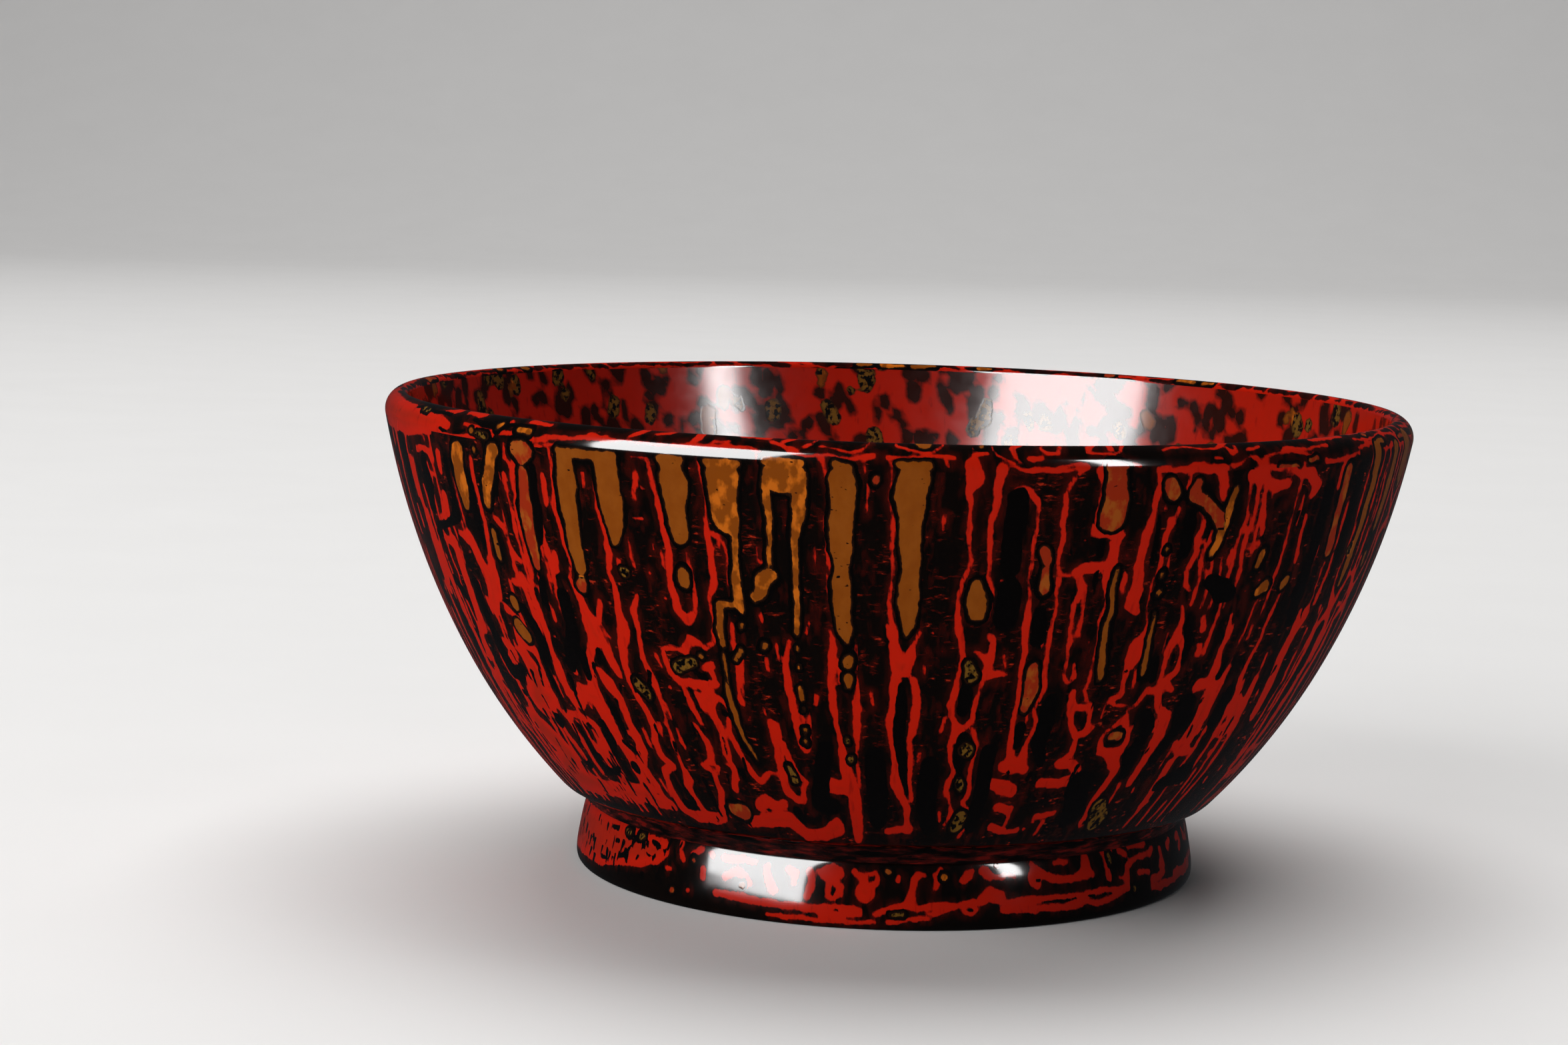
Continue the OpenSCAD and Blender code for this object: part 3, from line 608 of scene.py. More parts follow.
    [(40.3, 54, 0.2), (40.7, 51.8, 0.5), (41, 49.5, 0.4)],
    [(40.6, 57.3, 0.4), (44, 56.8, 0.5), (45, 56.3, 0.5), (47, 56, 1), (48.3, 54.8, 1),
     (47.6, 53.2, 0.5)],
    [(46.4, 53.5, 0.2), (46.5, 50, 0.25)],
    [(47.8, 51, 0.4), (47.9, 48, 0.45), (48.1, 45.5, 0.4)],
    [(40.3, 40, 0.3), (40.8, 37.5, 0.45), (40.6, 35, 0.5), (41, 33, 0.7), (41.3, 31.5, 0.8),
     (39, 31.2, 0.8)],
    [(41.3, 31, 0.6), (43, 31, 0.5), (43.3, 33, 0.3)],
    [(41.8, 29.5, 1.3), (42.3, 26.5, 1.3), (42, 24, 1.3)],
    [(40, 23.6, 0.5), (42, 22.4, 0.8), (44, 22, 0.4)],
    [(41, 21, 0.4), (41.2, 15, 0.5)],
    [(47.3, 42, 0.3), (46.8, 38, 0.4), (47, 35.5, 0.35), (46.5, 33, 0.4), (46.4, 31.6, 0.5),
     (47.5, 29, 0.7), (48.8, 27.5, 1.2), (49.3, 25, 1.3), (47.5, 24.2, 0.7)],
    [(49.8, 31, 0.5), (50, 29, 0.6), (50.5, 24.2, 0.6)],
    [(53, 57.5, 0.5), (52.6, 54, 0.5)],
    [(54.5, 38.5, 1.2), (53.5, 36, 1), (53.4, 33, 1), (54, 29, 1.1), (54.5, 26, 0.9)],
    [(27.5, 26, 0.3), (29.7, 27.6, 0.5), (31, 26, 0.3), (31.5, 25, 0.4), (31.3, 23.8, 0.4),
     (29.8, 23, 0.7), (28, 23.3, 0.5), (27.4, 24.8, 0.3), (27.5, 26, 0.3)],
    [(30, 22.5, 0.7), (31.8, 21, 0.8), (31.5, 19, 0.6), (30.8, 16, 0.5), (31.5, 13, 0.5)],
    # the redder left-hand side
    [(-43.4, 57, 0.3), (-43.8, 55.5, 0.3), (-42.7, 54.5, 0.4), (-42.9, 51, 0.35), (-43.1, 47, 0.4),
     (-43.1, 42, 0.5), (-43.5, 39, 0.3), (-43.3, 35, 0.45), (-43.6, 32, 0.5), (-44, 29.5, 0.5),
     (-43.5, 27, 0.8), (-42, 26, 1), (-40.6, 28, 1), (-38.5, 27, 1.2)],
    [(-49.6, 55, 0.35), (-49.5, 51, 0.45), (-49.2, 47, 0.5), (-49.9, 43, 0.5), (-50.5, 40.5, 1.3),
     (-51, 38.5, 1.2)],
    [(-53.5, 45, 0.8), (-52.5, 42, 1.1), (-51.3, 40, 1.3), (-52.5, 37, 1.2), (-53.2, 36, 0.6)],
    [(-55.5, 45, 0.5), (-53.8, 44.5, 1)],
    [(-57.8, 43.5, 1), (-57.7, 38, 1), (-58.2, 33.5, 1.1), (-60.5, 31.5, 0.6), (-61.5, 29, 0.6)],
    [(-60.2, 43.8, 0.7), (-58.5, 43.6, 0.6)],
    [(-64.3, 46, 1.1), (-64, 41, 1), (-64.5, 38.5, 0.7), (-67, 37, 0.5)],
    [(-57.2, 49.3, 0.9), (-57.4, 47.3, 0.9), (-59.5, 46.6, 0.3)],
    [(-56.6, 54.5, 0.7), (-56.8, 52.5, 0.6)],
    [(-58.8, 51.8, 0.4), (-60.5, 51.3, 0.3)],
    [(-62.5, 54.3, 0.5), (-60, 54.6, 0.6), (-58.5, 54, 0.7)],
    [(-53.7, 32, 0.6), (-52.4, 31, 1), (-54, 29.6, 0.7)],
    [(-50, 31, 1.2), (-49, 28, 2), (-52, 25, 2), (-48, 26, 1.2)],
    [(-47, 24, 0.5), (-44, 24.3, 0.5), (-41.3, 23.6, 0.5), (-41, 21.5, 0.5), (-42.5, 19.5, 1.2),
     (-43, 18.3, 0.8)],
    [(-62, 26, 1.2), (-63, 22.5, 1.5), (-60, 19, 1.2)],
    [(-56, 21, 2.5), (-52, 18, 2), (-56, 15, 2.5)],
    [(-56, 15, 2.5), (-48, 14.2, 1.3), (-44, 14, 1.2), (-38, 14.5, 1.3), (-34, 13.5, 0.8)],
    [(-50, 36.5, 0.7), (-48, 35.5, 0.4)],
    [(-49.8, 33, 0.6), (-47, 31.5, 0.5)],
    [(-46.5, 40.2, 0.5), (-44.5, 40.5, 0.4)],
    [(-47, 47.8, 0.5), (-46, 47, 0.6)],
    [(-45.5, 44, 0.5), (-44.5, 43, 0.4)],
    [(-44, 48, 0.35), (-44.1, 46.4, 0.35)],
    [(-44, 53.5, 0.4), (-44, 52.2, 0.4)],
    [(-38.5, 44.8, 0.4), (-38.8, 43, 0.8)],
    [(-41, 38, 0.3), (-41.2, 36.5, 0.4)],
    [(-39.2, 34.6, 0.7)],
    [(-40.6, 30.4, 0.5)],
    [(-38.2, 54, 0.5), (-38, 51, 0.5)],
    [(-75, 57.5, 1.6), (-64, 57.2, 1.5), (-58, 57.4, 1)],
]

# On the lip the height goes on as the distance over its curve, past the wall's 57 mm
LIP_CORES = [
    (OCHRE, [(-49, 58.1, 0.35)]),
    (DULL, [(-48, 57.8, 0.3), (-46.2, 57.8, 0.3)]),
    (GOLD, [(-44.7, 59, 0.35), (-44.2, 59.4, 0.2)]),
    (GOLD, [(-41.3, 58.7, 0.35), (-39.7, 58.8, 0.4)]),
    (DULL, [(-61, 59.5, 0.3), (-59.5, 59.5, 0.3)]),
    (OCHRE, [(2, 62.3, 0.8), (2.7, 60.5, 0.75)]),
    (OCHRE, [(8.2, 60.2, 0.2), (8.3, 60.8, 0.2)]),
    (BRICK, [(42, 57.4, 0.35), (44.4, 57, 0.4)]),
    (BRICK, [(46.5, 57.8, 0.25), (47.8, 57.9, 0.25)]),
]

LIP_BLACKS = [
    [(-55.6, 57.65, 0.12), (-54.8, 57.6, 0.25), (-53.6, 57.65, 0.12)],
    [(-52.3, 57.65, 0.2), (-51.2, 57.75, 0.35), (-50.1, 58, 0.12)],
    [(-63, 59.6, 0.25), (-57.5, 59.6, 0.3), (-54, 59.6, 0.35)],
    [(-49.3, 59.6, 0.3), (-47.5, 59.1, 0.4), (-45.7, 59.2, 0.45)],
    [(-43.4, 59, 0.3), (-42.2, 59.3, 0.3)],
    [(37.8, 57, 0.4)],
]

LIP_REDS = [
    [(-82, 58.4, 2.2), (-64, 58.2, 1.8), (-57, 58.2, 1.3), (-53.5, 58.3, 0.5)],
    [(-57, 57, 0.6), (-53, 57.1, 0.4), (-49, 57.2, 0.5), (-45.5, 57.9, 0.5)],
    [(-56, 59.6, 0.4), (-53, 60.5, 0.6)],
    [(-51, 60.5, 0.7), (-48, 60.5, 0.5)],
    [(-50.5, 58.7, 0.3), (-47, 58.5, 0.35), (-43.5, 58.3, 0.35), (-40, 58, 0.4), (-37.5, 58.2, 0.45)],
    [(-43.2, 59.8, 0.35), (-42.6, 59.4, 0.3)],
    [(-40.2, 60.3, 0.5), (-37.6, 60.1, 0.4)],
    [(-38.5, 57.3, 0.4), (-36.5, 57.6, 0.2), (-33, 57.65, 0.2), (-28.6, 57.6, 0.2)],
    [(-37.5, 58.4, 0.4), (-34, 58.5, 0.3), (-31.5, 58.8, 0.45), (-28, 58.7, 0.25), (-24, 58.7, 0.2),
     (-20.4, 58.9, 0.25), (-17, 58.9, 0.4), (-14, 58.8, 0.3), (-13, 58.4, 0.2)],
    [(-31.8, 59.3, 0.35), (-31, 59, 0.3)],
    [(-30, 59.1, 0.25)],
    [(-27.2, 59.2, 0.3), (-26.2, 60, 0.45), (-25.6, 61.2, 0.6)],
    [(-24.4, 60.1, 0.2), (-23, 60.3, 0.35), (-22.4, 61.3, 0.5)],
    [(-20.4, 59, 0.3), (-19.7, 60, 0.7), (-19.5, 61.6, 0.9)],
    [(-17.8, 59.5, 0.3), (-16.6, 59.5, 0.3)],
    [(-15.5, 61, 0.7), (-12.5, 60.9, 0.7)],
    [(-12, 59.8, 0.4), (-11, 59.4, 0.4), (-9.6, 58.8, 0.5)],
    [(-11, 60.2, 0.4), (-10, 61.2, 0.6)],
    [(-8.9, 59.4, 0.3), (-8.2, 59.9, 0.3), (-7.8, 60.6, 0.25)],
    [(-7.3, 59.5, 0.2), (-6.2, 59.2, 0.18), (-4.2, 59.15, 0.18), (-3.2, 59.5, 0.2), (-2.7, 59.9, 0.2),
     (-2.6, 61.5, 0.2)],
    [(0.2, 61.5, 0.2), (0.2, 60.1, 0.2), (1.4, 59.5, 0.2), (2.6, 59.1, 0.25), (3.6, 59.3, 0.2),
     (4.2, 60, 0.2), (5, 61.5, 0.2)],
    [(-10, 58.5, 0.4), (-8, 58.4, 0.3), (-5.3, 58.3, 0.2), (-3.5, 58.5, 0.3), (-2.2, 58.6, 0.45)],
    [(-7.3, 58.2, 0.2), (-6.9, 57.6, 0.2)],
    [(-0.6, 58.6, 0.35), (1.6, 58.65, 0.2), (3.6, 58.8, 0.3), (5.6, 58.7, 0.25)],
    [(4.6, 58.4, 0.2), (4.9, 57.7, 0.2)],
    [(7.4, 58.9, 0.4), (8.8, 59.1, 0.35)],
    [(7.4, 59.5, 0.2), (7.8, 61.5, 0.2)],
    [(9.5, 61.5, 0.2), (9.3, 60, 0.2), (9.8, 59, 0.25), (10.6, 58.5, 0.25), (11.4, 58.1, 0.25),
     (12, 57.5, 0.2), (13.5, 57.6, 0.25), (15.5, 57.5, 0.25), (17.2, 58.1, 0.2), (18.4, 58.2, 0.25),
     (18.8, 57.7, 0.25)],
    [(12.2, 58.2, 0.2), (11.6, 58.9, 0.4), (11.4, 60, 0.5), (12.3, 61.3, 0.6)],
    [(12.9, 58.8, 0.35), (14.3, 58.8, 0.35)],
    [(14.6, 61.5, 0.3), (14.5, 60, 0.25), (15, 59.3, 0.3), (15.9, 59.4, 0.3), (16.3, 60.4, 0.25),
     (16.8, 61.5, 0.25)],
    [(20.6, 61.5, 0.5), (19.3, 60.2, 0.5), (18.9, 59.6, 0.3), (20.3, 59.3, 0.25), (21.8, 59.1, 0.2),
     (22.6, 59.8, 0.25), (23.4, 61.5, 0.3)],
    [(21.7, 61.5, 0.5), (21.6, 60, 0.4)],
    [(20.1, 57.3, 0.25), (20.6, 58.1, 0.25), (21.4, 58.6, 0.2), (22.6, 58.5, 0.2), (24.3, 57.9, 0.3)],
    [(26.4, 56.8, 0.25), (26.7, 57.5, 0.25), (28, 57.4, 0.25), (29.6, 57.5, 0.3), (30.5, 57.8, 0.4),
     (31.6, 57.7, 0.4), (32.4, 57.3, 0.2), (34.6, 57.2, 0.3)],
    [(27.4, 59.6, 0.3), (28.3, 59.9, 0.25), (30.4, 60.1, 0.25), (31.4, 59.7, 0.25), (33.6, 59.7, 0.25),
     (34.4, 60.2, 0.4), (36, 61.5, 0.5)],
    [(33, 58.3, 0.25), (33.8, 58.3, 0.25)],
    [(35, 59.7, 0.3), (35.3, 59, 0.3), (36, 59.3, 0.25), (36.2, 60, 0.25)],
    [(35.2, 57.6, 0.3), (36.6, 58.1, 0.2), (37.6, 58.6, 0.25), (38.5, 58.2, 0.4), (39, 57.2, 0.5)],
    [(37.3, 59.3, 0.3), (38.5, 59.5, 0.3), (39.4, 59.9, 0.25)],
    [(39, 57, 0.5), (39.6, 58.2, 0.35), (40.6, 58.6, 0.25), (42, 58.8, 0.25), (42.8, 59.3, 0.4),
     (44.5, 58.7, 0.3), (48, 58.5, 0.2)],
    [(43, 59.2, 0.3), (45, 59.1, 0.3), (50, 59.4, 0.3)],
    [(49.2, 57.5, 0.4), (52, 57.4, 0.4), (56, 57.8, 0.3)],
    [(48, 60.5, 0.4), (54, 60.4, 0.4)],
]

FOOT_CORES = [
    (GOLD, [(10.9, 6.3, 0.35)]),
    (BRICK, [(20.5, 7.4, 0.35)]),
    (BRICK, [(1.1, 6.9, 0.3)]),
    (DULL, [(1.6, 2, 0.15), (3.8, 2, 0.2)]),
    (DULL, [(-54.7, 7.2, 0.25), (-53.5, 7.1, 0.25)]),
    (DULL, [(-50, 7.1, 0.35), (-49.3, 7.2, 0.3)]),
    (BRICK, [(-39.6, 1.8, 0.3)]),
    (BRICK, [(-35.6, 5.9, 0.25)]),
    (DULL, [(45.1, 7.2, 0.3), (45.2, 6.4, 0.2)]),
    (DULL, [(51, 2.6, 0.35)]),
    (GOLD, [(-25, 4, 0.4)]),
]

FOOT_BLACKS = [
    [(-62.5, 3, 0.3), (-60, 3, 0.2)],
    [(-59.8, 7, 0.3), (-58, 7, 0.35)],
    [(-57.5, 5.6, 0.3), (-56.8, 5.7, 0.3)],
    [(-55.8, 4, 0.25), (-54, 4.4, 0.45), (-53, 5.2, 0.3), (-52.3, 5.7, 0.15)],
    [(-46, 6.9, 0.3), (-45, 6.6, 0.4), (-44.3, 6.4, 0.3)],
    [(-47.5, 5.5, 0.1), (-46.8, 5.15, 0.15), (-45, 5.1, 0.1)],
    [(-8.4, 4.1, 0.25), (-8.1, 4.6, 0.2)],
    [(-7.9, 2.1, 0.2), (-7.4, 2.1, 0.2)],
    [(28, 5.4, 0.15), (28.8, 5.4, 0.1)],
    [(29, 2.85, 0.1), (33, 2.9, 0.2), (36, 2.9, 0.12)],
    [(39, 2.9, 0.2), (40.2, 2.9, 0.2)],
    [(42.8, 2.9, 0.15), (44.5, 2.9, 0.15)],
    [(15, 2.5, 0.2), (15.5, 2.5, 0.2)],
]

FOOT_REDS = [
    [(-82, 4.5, 3), (-62, 5, 3.1), (-55, 5.4, 2.5), (-49, 5.6, 2.1), (-44.5, 6, 1.6),
     (-43.3, 6.3, 1.2)],
    [(-39, 7.6, 0.4), (-38.8, 6.8, 0.3), (-38.2, 6, 0.4), (-37.9, 5.7, 0.3)],
    [(-36, 6.6, 0.3), (-34.8, 7.1, 0.45), (-34, 7.2, 0.35)],
    [(-41.4, 4.2, 0.25), (-40.7, 4.2, 0.2)],
    [(-36, 2.2, 0.25)],
    [(-32, 7, 0.4), (-31.5, 6.6, 0.4)],
    [(-33.2, 5, 0.4), (-33, 4.2, 0.5)],
    [(-29, 6.7, 0.5), (-26, 6.9, 0.4), (-23, 6.9, 0.4)],
    [(-28.5, 4.6, 0.5), (-26.5, 5.4, 0.5), (-24.5, 5.2, 0.4), (-23.6, 4.2, 0.4), (-25, 3.6, 0.3)],
    [(-30, 2.7, 0.4), (-24, 2.4, 0.5), (-16, 2.3, 0.5), (-12, 2.2, 0.55), (-8, 2.1, 0.7), (-5, 2.2, 0.7),
     (-3.8, 2.1, 0.5)],
    [(-20.5, 6.5, 0.5), (-20, 5, 0.6), (-19.2, 4, 0.7)],
    [(-16.6, 6.6, 0.4), (-15.2, 6.2, 0.5), (-15.5, 5, 0.4)],
    [(-12.6, 6.4, 0.5), (-12.2, 5.4, 0.4), (-12.4, 4.4, 0.5), (-12.8, 3.6, 0.4)],
    [(-10.6, 6.4, 0.4), (-9.7, 6.9, 0.35), (-8.6, 7.2, 0.3), (-7.6, 6.8, 0.45), (-7.4, 6.3, 0.45)],
    [(-10.6, 6.4, 0.3), (-9.5, 5.9, 0.4), (-8.4, 6.2, 0.4), (-7.6, 6.3, 0.4)],
    [(-9, 5.7, 0.4), (-9.2, 4.6, 0.3), (-9, 3.8, 0.4), (-8.2, 3.6, 0.4), (-7.4, 4, 0.45),
     (-7.3, 4.8, 0.4), (-8, 5.4, 0.35)],
    [(-10, 1.6, 0.3), (-8.5, 1.3, 0.4), (-7.5, 1.2, 0.3), (-6.5, 1.5, 0.3)],
    [(-20, 0.95, 0.25), (-14, 0.95, 0.3), (-10, 0.9, 0.3), (-5, 0.9, 0.25), (-1, 1, 0.2)],
    [(-4.7, 6.7, 0.35), (-4.2, 6.5, 0.3), (-3.6, 6.1, 0.35)],
    [(-3.2, 6, 0.4), (-3, 5.2, 0.6), (-3, 4.4, 1.1), (-2.8, 4.3, 1.1)],
    [(-2.4, 6.5, 0.25), (-1.2, 6.7, 0.3), (-0.7, 6.1, 0.25), (-1, 5.5, 0.4), (-1.6, 5.3, 0.3)],
    [(3, 6.4, 0.2), (2.8, 6, 0.25)],
    [(7.2, 6.6, 0.25), (6.3, 6.4, 0.45), (5.8, 6.1, 0.45), (5.4, 5.2, 0.35), (5, 4.2, 0.45),
     (4.9, 3.6, 0.55)],
    [(-1, 1.9, 0.25), (0, 2.3, 0.3), (2, 2.8, 0.35), (4, 3, 0.35), (6, 2.7, 0.35), (8, 3, 0.4),
     (10, 3, 0.45), (12, 2.9, 0.4), (14, 3.1, 0.4), (17, 3.4, 0.45), (19, 4.2, 0.9), (20.6, 3.9, 0.8)],
    [(8, 2.2, 0.2), (9.5, 2.1, 0.25), (10.5, 2.4, 0.3), (11.5, 2.8, 0.3)],
    [(1.2, 1.2, 0.25), (3, 1.2, 0.35), (5, 1.4, 0.25), (6.5, 1.6, 0.3), (8, 1.6, 0.2)],
    [(10.4, 7.1, 0.3), (9.4, 6.6, 0.3), (9.7, 6, 0.4), (9.3, 5.1, 0.4)],
    [(14.3, 6, 0.5), (15.2, 6.6, 0.6), (16, 7, 0.3)],
    [(14.2, 2.9, 0.3), (14.3, 2.2, 0.25), (15.5, 2, 0.25), (16.4, 2.6, 0.3)],
    [(18, 7, 0.6), (19, 6.6, 0.8), (20.5, 6.4, 0.6), (21.3, 6.2, 0.5)],
    [(22.5, 6.4, 0.3), (23.5, 6.2, 0.3)],
    [(22.4, 3, 0.5), (24, 3.1, 0.55), (28, 3.3, 0.4), (33, 3.4, 0.35), (36, 3, 0.5), (38, 2.8, 0.5)],
    [(21.5, 2.4, 0.4), (26, 2.2, 0.4), (30, 2.2, 0.4), (34, 2.1, 0.45), (37, 2.2, 0.45)],
    [(27.3, 7.2, 0.35), (27.7, 6.5, 0.7), (27.5, 5.7, 0.9), (28, 5, 0.6)],
    [(28.6, 6.3, 0.6), (31, 5.6, 0.5), (33, 5.3, 0.4), (36, 5.3, 0.4), (38.5, 5.6, 0.7)],
    [(39, 7.7, 0.5), (39, 6.8, 0.7), (39, 6, 0.85), (40.2, 5.4, 0.4)],
    [(32, 7.2, 0.3), (33.3, 7.4, 0.4), (34.6, 7.2, 0.35)],
    [(43.5, 7.8, 0.35), (45.5, 7.7, 0.4)],
    [(44, 7.3, 0.35), (44, 6, 0.35), (44.2, 4.8, 0.35)],
    [(38.5, 3.2, 0.35), (43, 3.4, 0.3), (46, 2.9, 0.5), (49, 3, 0.5), (49.2, 4.4, 0.45),
     (49.6, 5.5, 0.35), (51, 6.1, 0.35), (56, 6.3, 0.35)],
    [(38.5, 2.3, 0.3), (41, 1.9, 0.3), (43, 2.1, 0.3), (46, 2.5, 0.3)],
    [(47, 4.5, 0.15), (48.5, 4.2, 0.3)],
    [(48, 7.5, 0.4), (49.5, 7, 0.4)],
    [(51, 7.8, 0.35), (56, 7.6, 0.4)],
    [(53, 4.4, 0.3), (56, 4.2, 0.3)],
]


# ---------------------------------------------------------------- the marbling, scattered
def wavy(rng, azimuth, top, bottom, width, sway=0.35, step=4.0):
    """A stroke that hangs down the wall with a little sway and swell."""
    count = max(2, int(round((top - bottom) / step)) + 1)
    heights = np.linspace(top, bottom, count)
    return [(azimuth + rng.uniform(-sway, sway), z, width * rng.uniform(0.75, 1.25)) for z in heights]


def hanging_drip(rng, azimuth, cores, reds, blacks):
    """One drip down the wall, the red line round it, and the veins that run on below it."""
    width = rng.uniform(0.8, 1.8)
    bottom = rng.uniform(37, 53)
    kind = rng.choice([OCHRE, OCHRE, OCHRE, GOLD, BRICK, None, None, None])
    if kind is None:
        blacks.append(wavy(rng, azimuth, 58, bottom, width))
    else:
        drip = wavy(rng, azimuth, 58, bottom + 2, width, 0.2)
        cores.append((kind, drip + [(azimuth, bottom, width * 0.4)]))
        if rng.uniform() < 0.5:
            low = bottom - rng.uniform(2.5, 4)
            cores.append((kind, [(azimuth, low, 0.5), (azimuth, low - 1.2, 0.4)]))
            bottom = low - 1.5
    reach = (width + rng.uniform(0.9, 1.5)) / ARC
    for side in (-1, 1):
        line = wavy(rng, azimuth + side * reach, 58, bottom, rng.uniform(0.22, 0.4), 0.3, 3.0)
        reds.append(line + [(azimuth + side * 0.4, bottom - rng.uniform(2, 3.5), rng.uniform(0.5, 0.9))])
    neck = bottom - rng.uniform(3, 6)
    reds.append([(azimuth, bottom - 3, 0.8), (azimuth, neck, rng.uniform(0.6, 1.2))])
    end = rng.uniform(12, 20)
    blacks.append(wavy(rng, azimuth, neck - 2, end + 3, rng.uniform(0.5, 1.0)))
    for side in (-1, 1):
        if rng.uniform() < 0.85:
            leg_azimuth = azimuth + side * rng.uniform(1.1, 1.7)
            leg = wavy(rng, leg_azimuth, neck - 1.5, end, rng.uniform(0.35, 0.75), 0.45)
            reds.append([(azimuth + side * 0.3, neck, 0.7)] + leg)
    if rng.uniform() < 0.4:
        z = rng.uniform(end + 4, neck - 3)
        cores.append((rng.choice([OCHRE, DULL]), [(azimuth, z, rng.uniform(0.3, 0.8))]))


def between_drips(rng, azimuth, reds, blacks):
    """What fills the space between two drips: a thin vein or two, dashes and small red spots."""
    if rng.uniform() < 0.45:
        top = rng.uniform(44, 57)
        reds.append(wavy(rng, azimuth, top, top - rng.uniform(6, 18), rng.uniform(0.2, 0.5)))
    if rng.uniform() < 0.4:
        top = rng.uniform(28, 46)
        blacks.append(wavy(rng, azimuth, top, top - rng.uniform(5, 12), rng.uniform(0.6, 1.1)))
    for _ in range(rng.randint(1, 4)):
        z = rng.uniform(14, 55)
        width = rng.uniform(0.25, 0.5)
        left, right = azimuth - rng.uniform(0, 0.9), azimuth + rng.uniform(0, 0.9)
        reds.append([(left, z, width), (right, z, width)])


def side_streaks(rng, start, end, step, width):
    """Thin red runs close together, as on the sides of the bowl."""
    reds = []
    for azimuth in np.arange(start, end, step):
        top = rng.uniform(18, 58)
        reds.append(wavy(rng, azimuth + rng.uniform(-0.4, 0.4), top, max(12, top - rng.uniform(5, 22)),
                         rng.uniform(*width), 0.25, 3.0))
    return [], reds, []


def flecks(rng, start, end, count):
    """Small red dots and dashes left between the runs."""
    reds = []
    for _ in range(count):
        azimuth, height, width = rng.uniform(start, end), rng.uniform(13, 56), rng.uniform(0.18, 0.36)
        dash = [(azimuth, height, width)]
        if rng.uniform() < 0.6:
            dash.append((azimuth + rng.uniform(-0.3, 0.3), height - rng.uniform(0.6, 2.4), width * 0.7))
        reds.append(dash)
    return [], reds, []


def gaps(rng, start, end, low, high, count, longest):
    """Small black dashes that break up wide red stretches."""
    blacks = []
    for _ in range(count):
        azimuth, height, width = rng.uniform(start, end), rng.uniform(low, high), rng.uniform(0.16, 0.42)
        foot = height - rng.uniform(0.4, longest)
        blacks.append([(azimuth, height, width), (azimuth + rng.uniform(-0.5, 0.5), foot, width * 0.6)])
    return [], [], blacks


def scattered_wall(rng, start, end):
    """Strokes for the rest of the wall, drip by drip."""
    cores, reds, blacks = [], [], []
    azimuth = start
    while azimuth < end:
        hanging_drip(rng, azimuth, cores, reds, blacks)
        azimuth += rng.uniform(4.2, 6.6)
        between_drips(rng, azimuth - 2.6, reds, blacks)
    for azimuth in np.arange(start, end, 3.4):
        width = rng.uniform(0.4, 1.0)
        z = rng.uniform(11.5, 17)
        reds.append([(azimuth, z, width), (azimuth + rng.uniform(1, 4), z + rng.uniform(-1, 1), width)])
    return cores, reds, blacks


def net(rng, start, end, low, high):
    """Red lines that cross into a net of level cells, a few of the cells filled with colour."""
    cores, reds = [], []
    for level in np.arange(low, high, 1.25):
        last = (start, level, 0.3)
        while last[0] < end:
            bend = (last[0] + rng.uniform(1.5, 4.5), level + rng.uniform(-0.4, 0.4),
                    rng.uniform(0.2, 0.42))
            reds.append([last, bend])
            if rng.uniform() < 0.4:
                rung = (bend[0] + rng.uniform(-1, 1), level + rng.uniform(0.9, 1.4),
                        rng.uniform(0.2, 0.35))
                reds.append([bend, rung])
            if rng.uniform() < 0.12:
                fill = [(last[0] + 0.9, level + 0.55, 0.25),
                        (bend[0] - 0.5, level + 0.6, rng.uniform(0.25, 0.45))]
                cores.append((rng.choice([OCHRE, BRICK, GOLD]), fill))
            last = bend
    return cores, reds, []


def foot_figures(rng, start, end):
    """Red hooks, drops and bars in a row round the foot, over a red band with long thin holes."""
    reds = []
    azimuth = start
    while azimuth < end:
        a, w = azimuth, rng.uniform(0.3, 0.5)
        figures = [[(a, 6.7, w), (a + 1.4, 6.9, w), (a + 2, 6, w), (a + 1, 5.3, w)],
                   [(a, 6.4, w), (a + 0.3, 5.4, w * 1.2), (a + 0.2, 4.4, w * 2.4)],
                   [(a + 1, 6.7, w), (a + 0.4, 5.4, w), (a, 3.4, w * 1.2)],
                   [(a, 7, w), (a + 0.6, 6, w * 1.8), (a + 3, 5.4, w)],
                   [(a, 6.2, w * 1.3), (a + 1.2, 6.8, w)],
                   [(a, 5.8, w), (a - 0.2, 4.4, w), (a + 1.4, 4.1, w), (a + 1.6, 5.2, w), (a, 5.8, w)]]
        reds.append(figures[rng.randint(len(figures))])
        azimuth += rng.uniform(3.4, 6.2)
    for level, gap in ((3.1, 0.5), (2.2, 0.35)):
        last = (start, level, 0.4)
        while last[0] < end:
            bend = (last[0] + rng.uniform(2, 6), level + rng.uniform(-gap, gap), rng.uniform(0.28, 0.5))
            if rng.uniform() < 0.88:
                reds.append([last, bend])
            last = bend
    return [], reds, []


# ---------------------------------------------------------------- painting the strokes
# Distance past which a stroke isn't felt, and the width of the black band round a core, in mm
FAR = 6.0
BLACK_GAP = 0.55


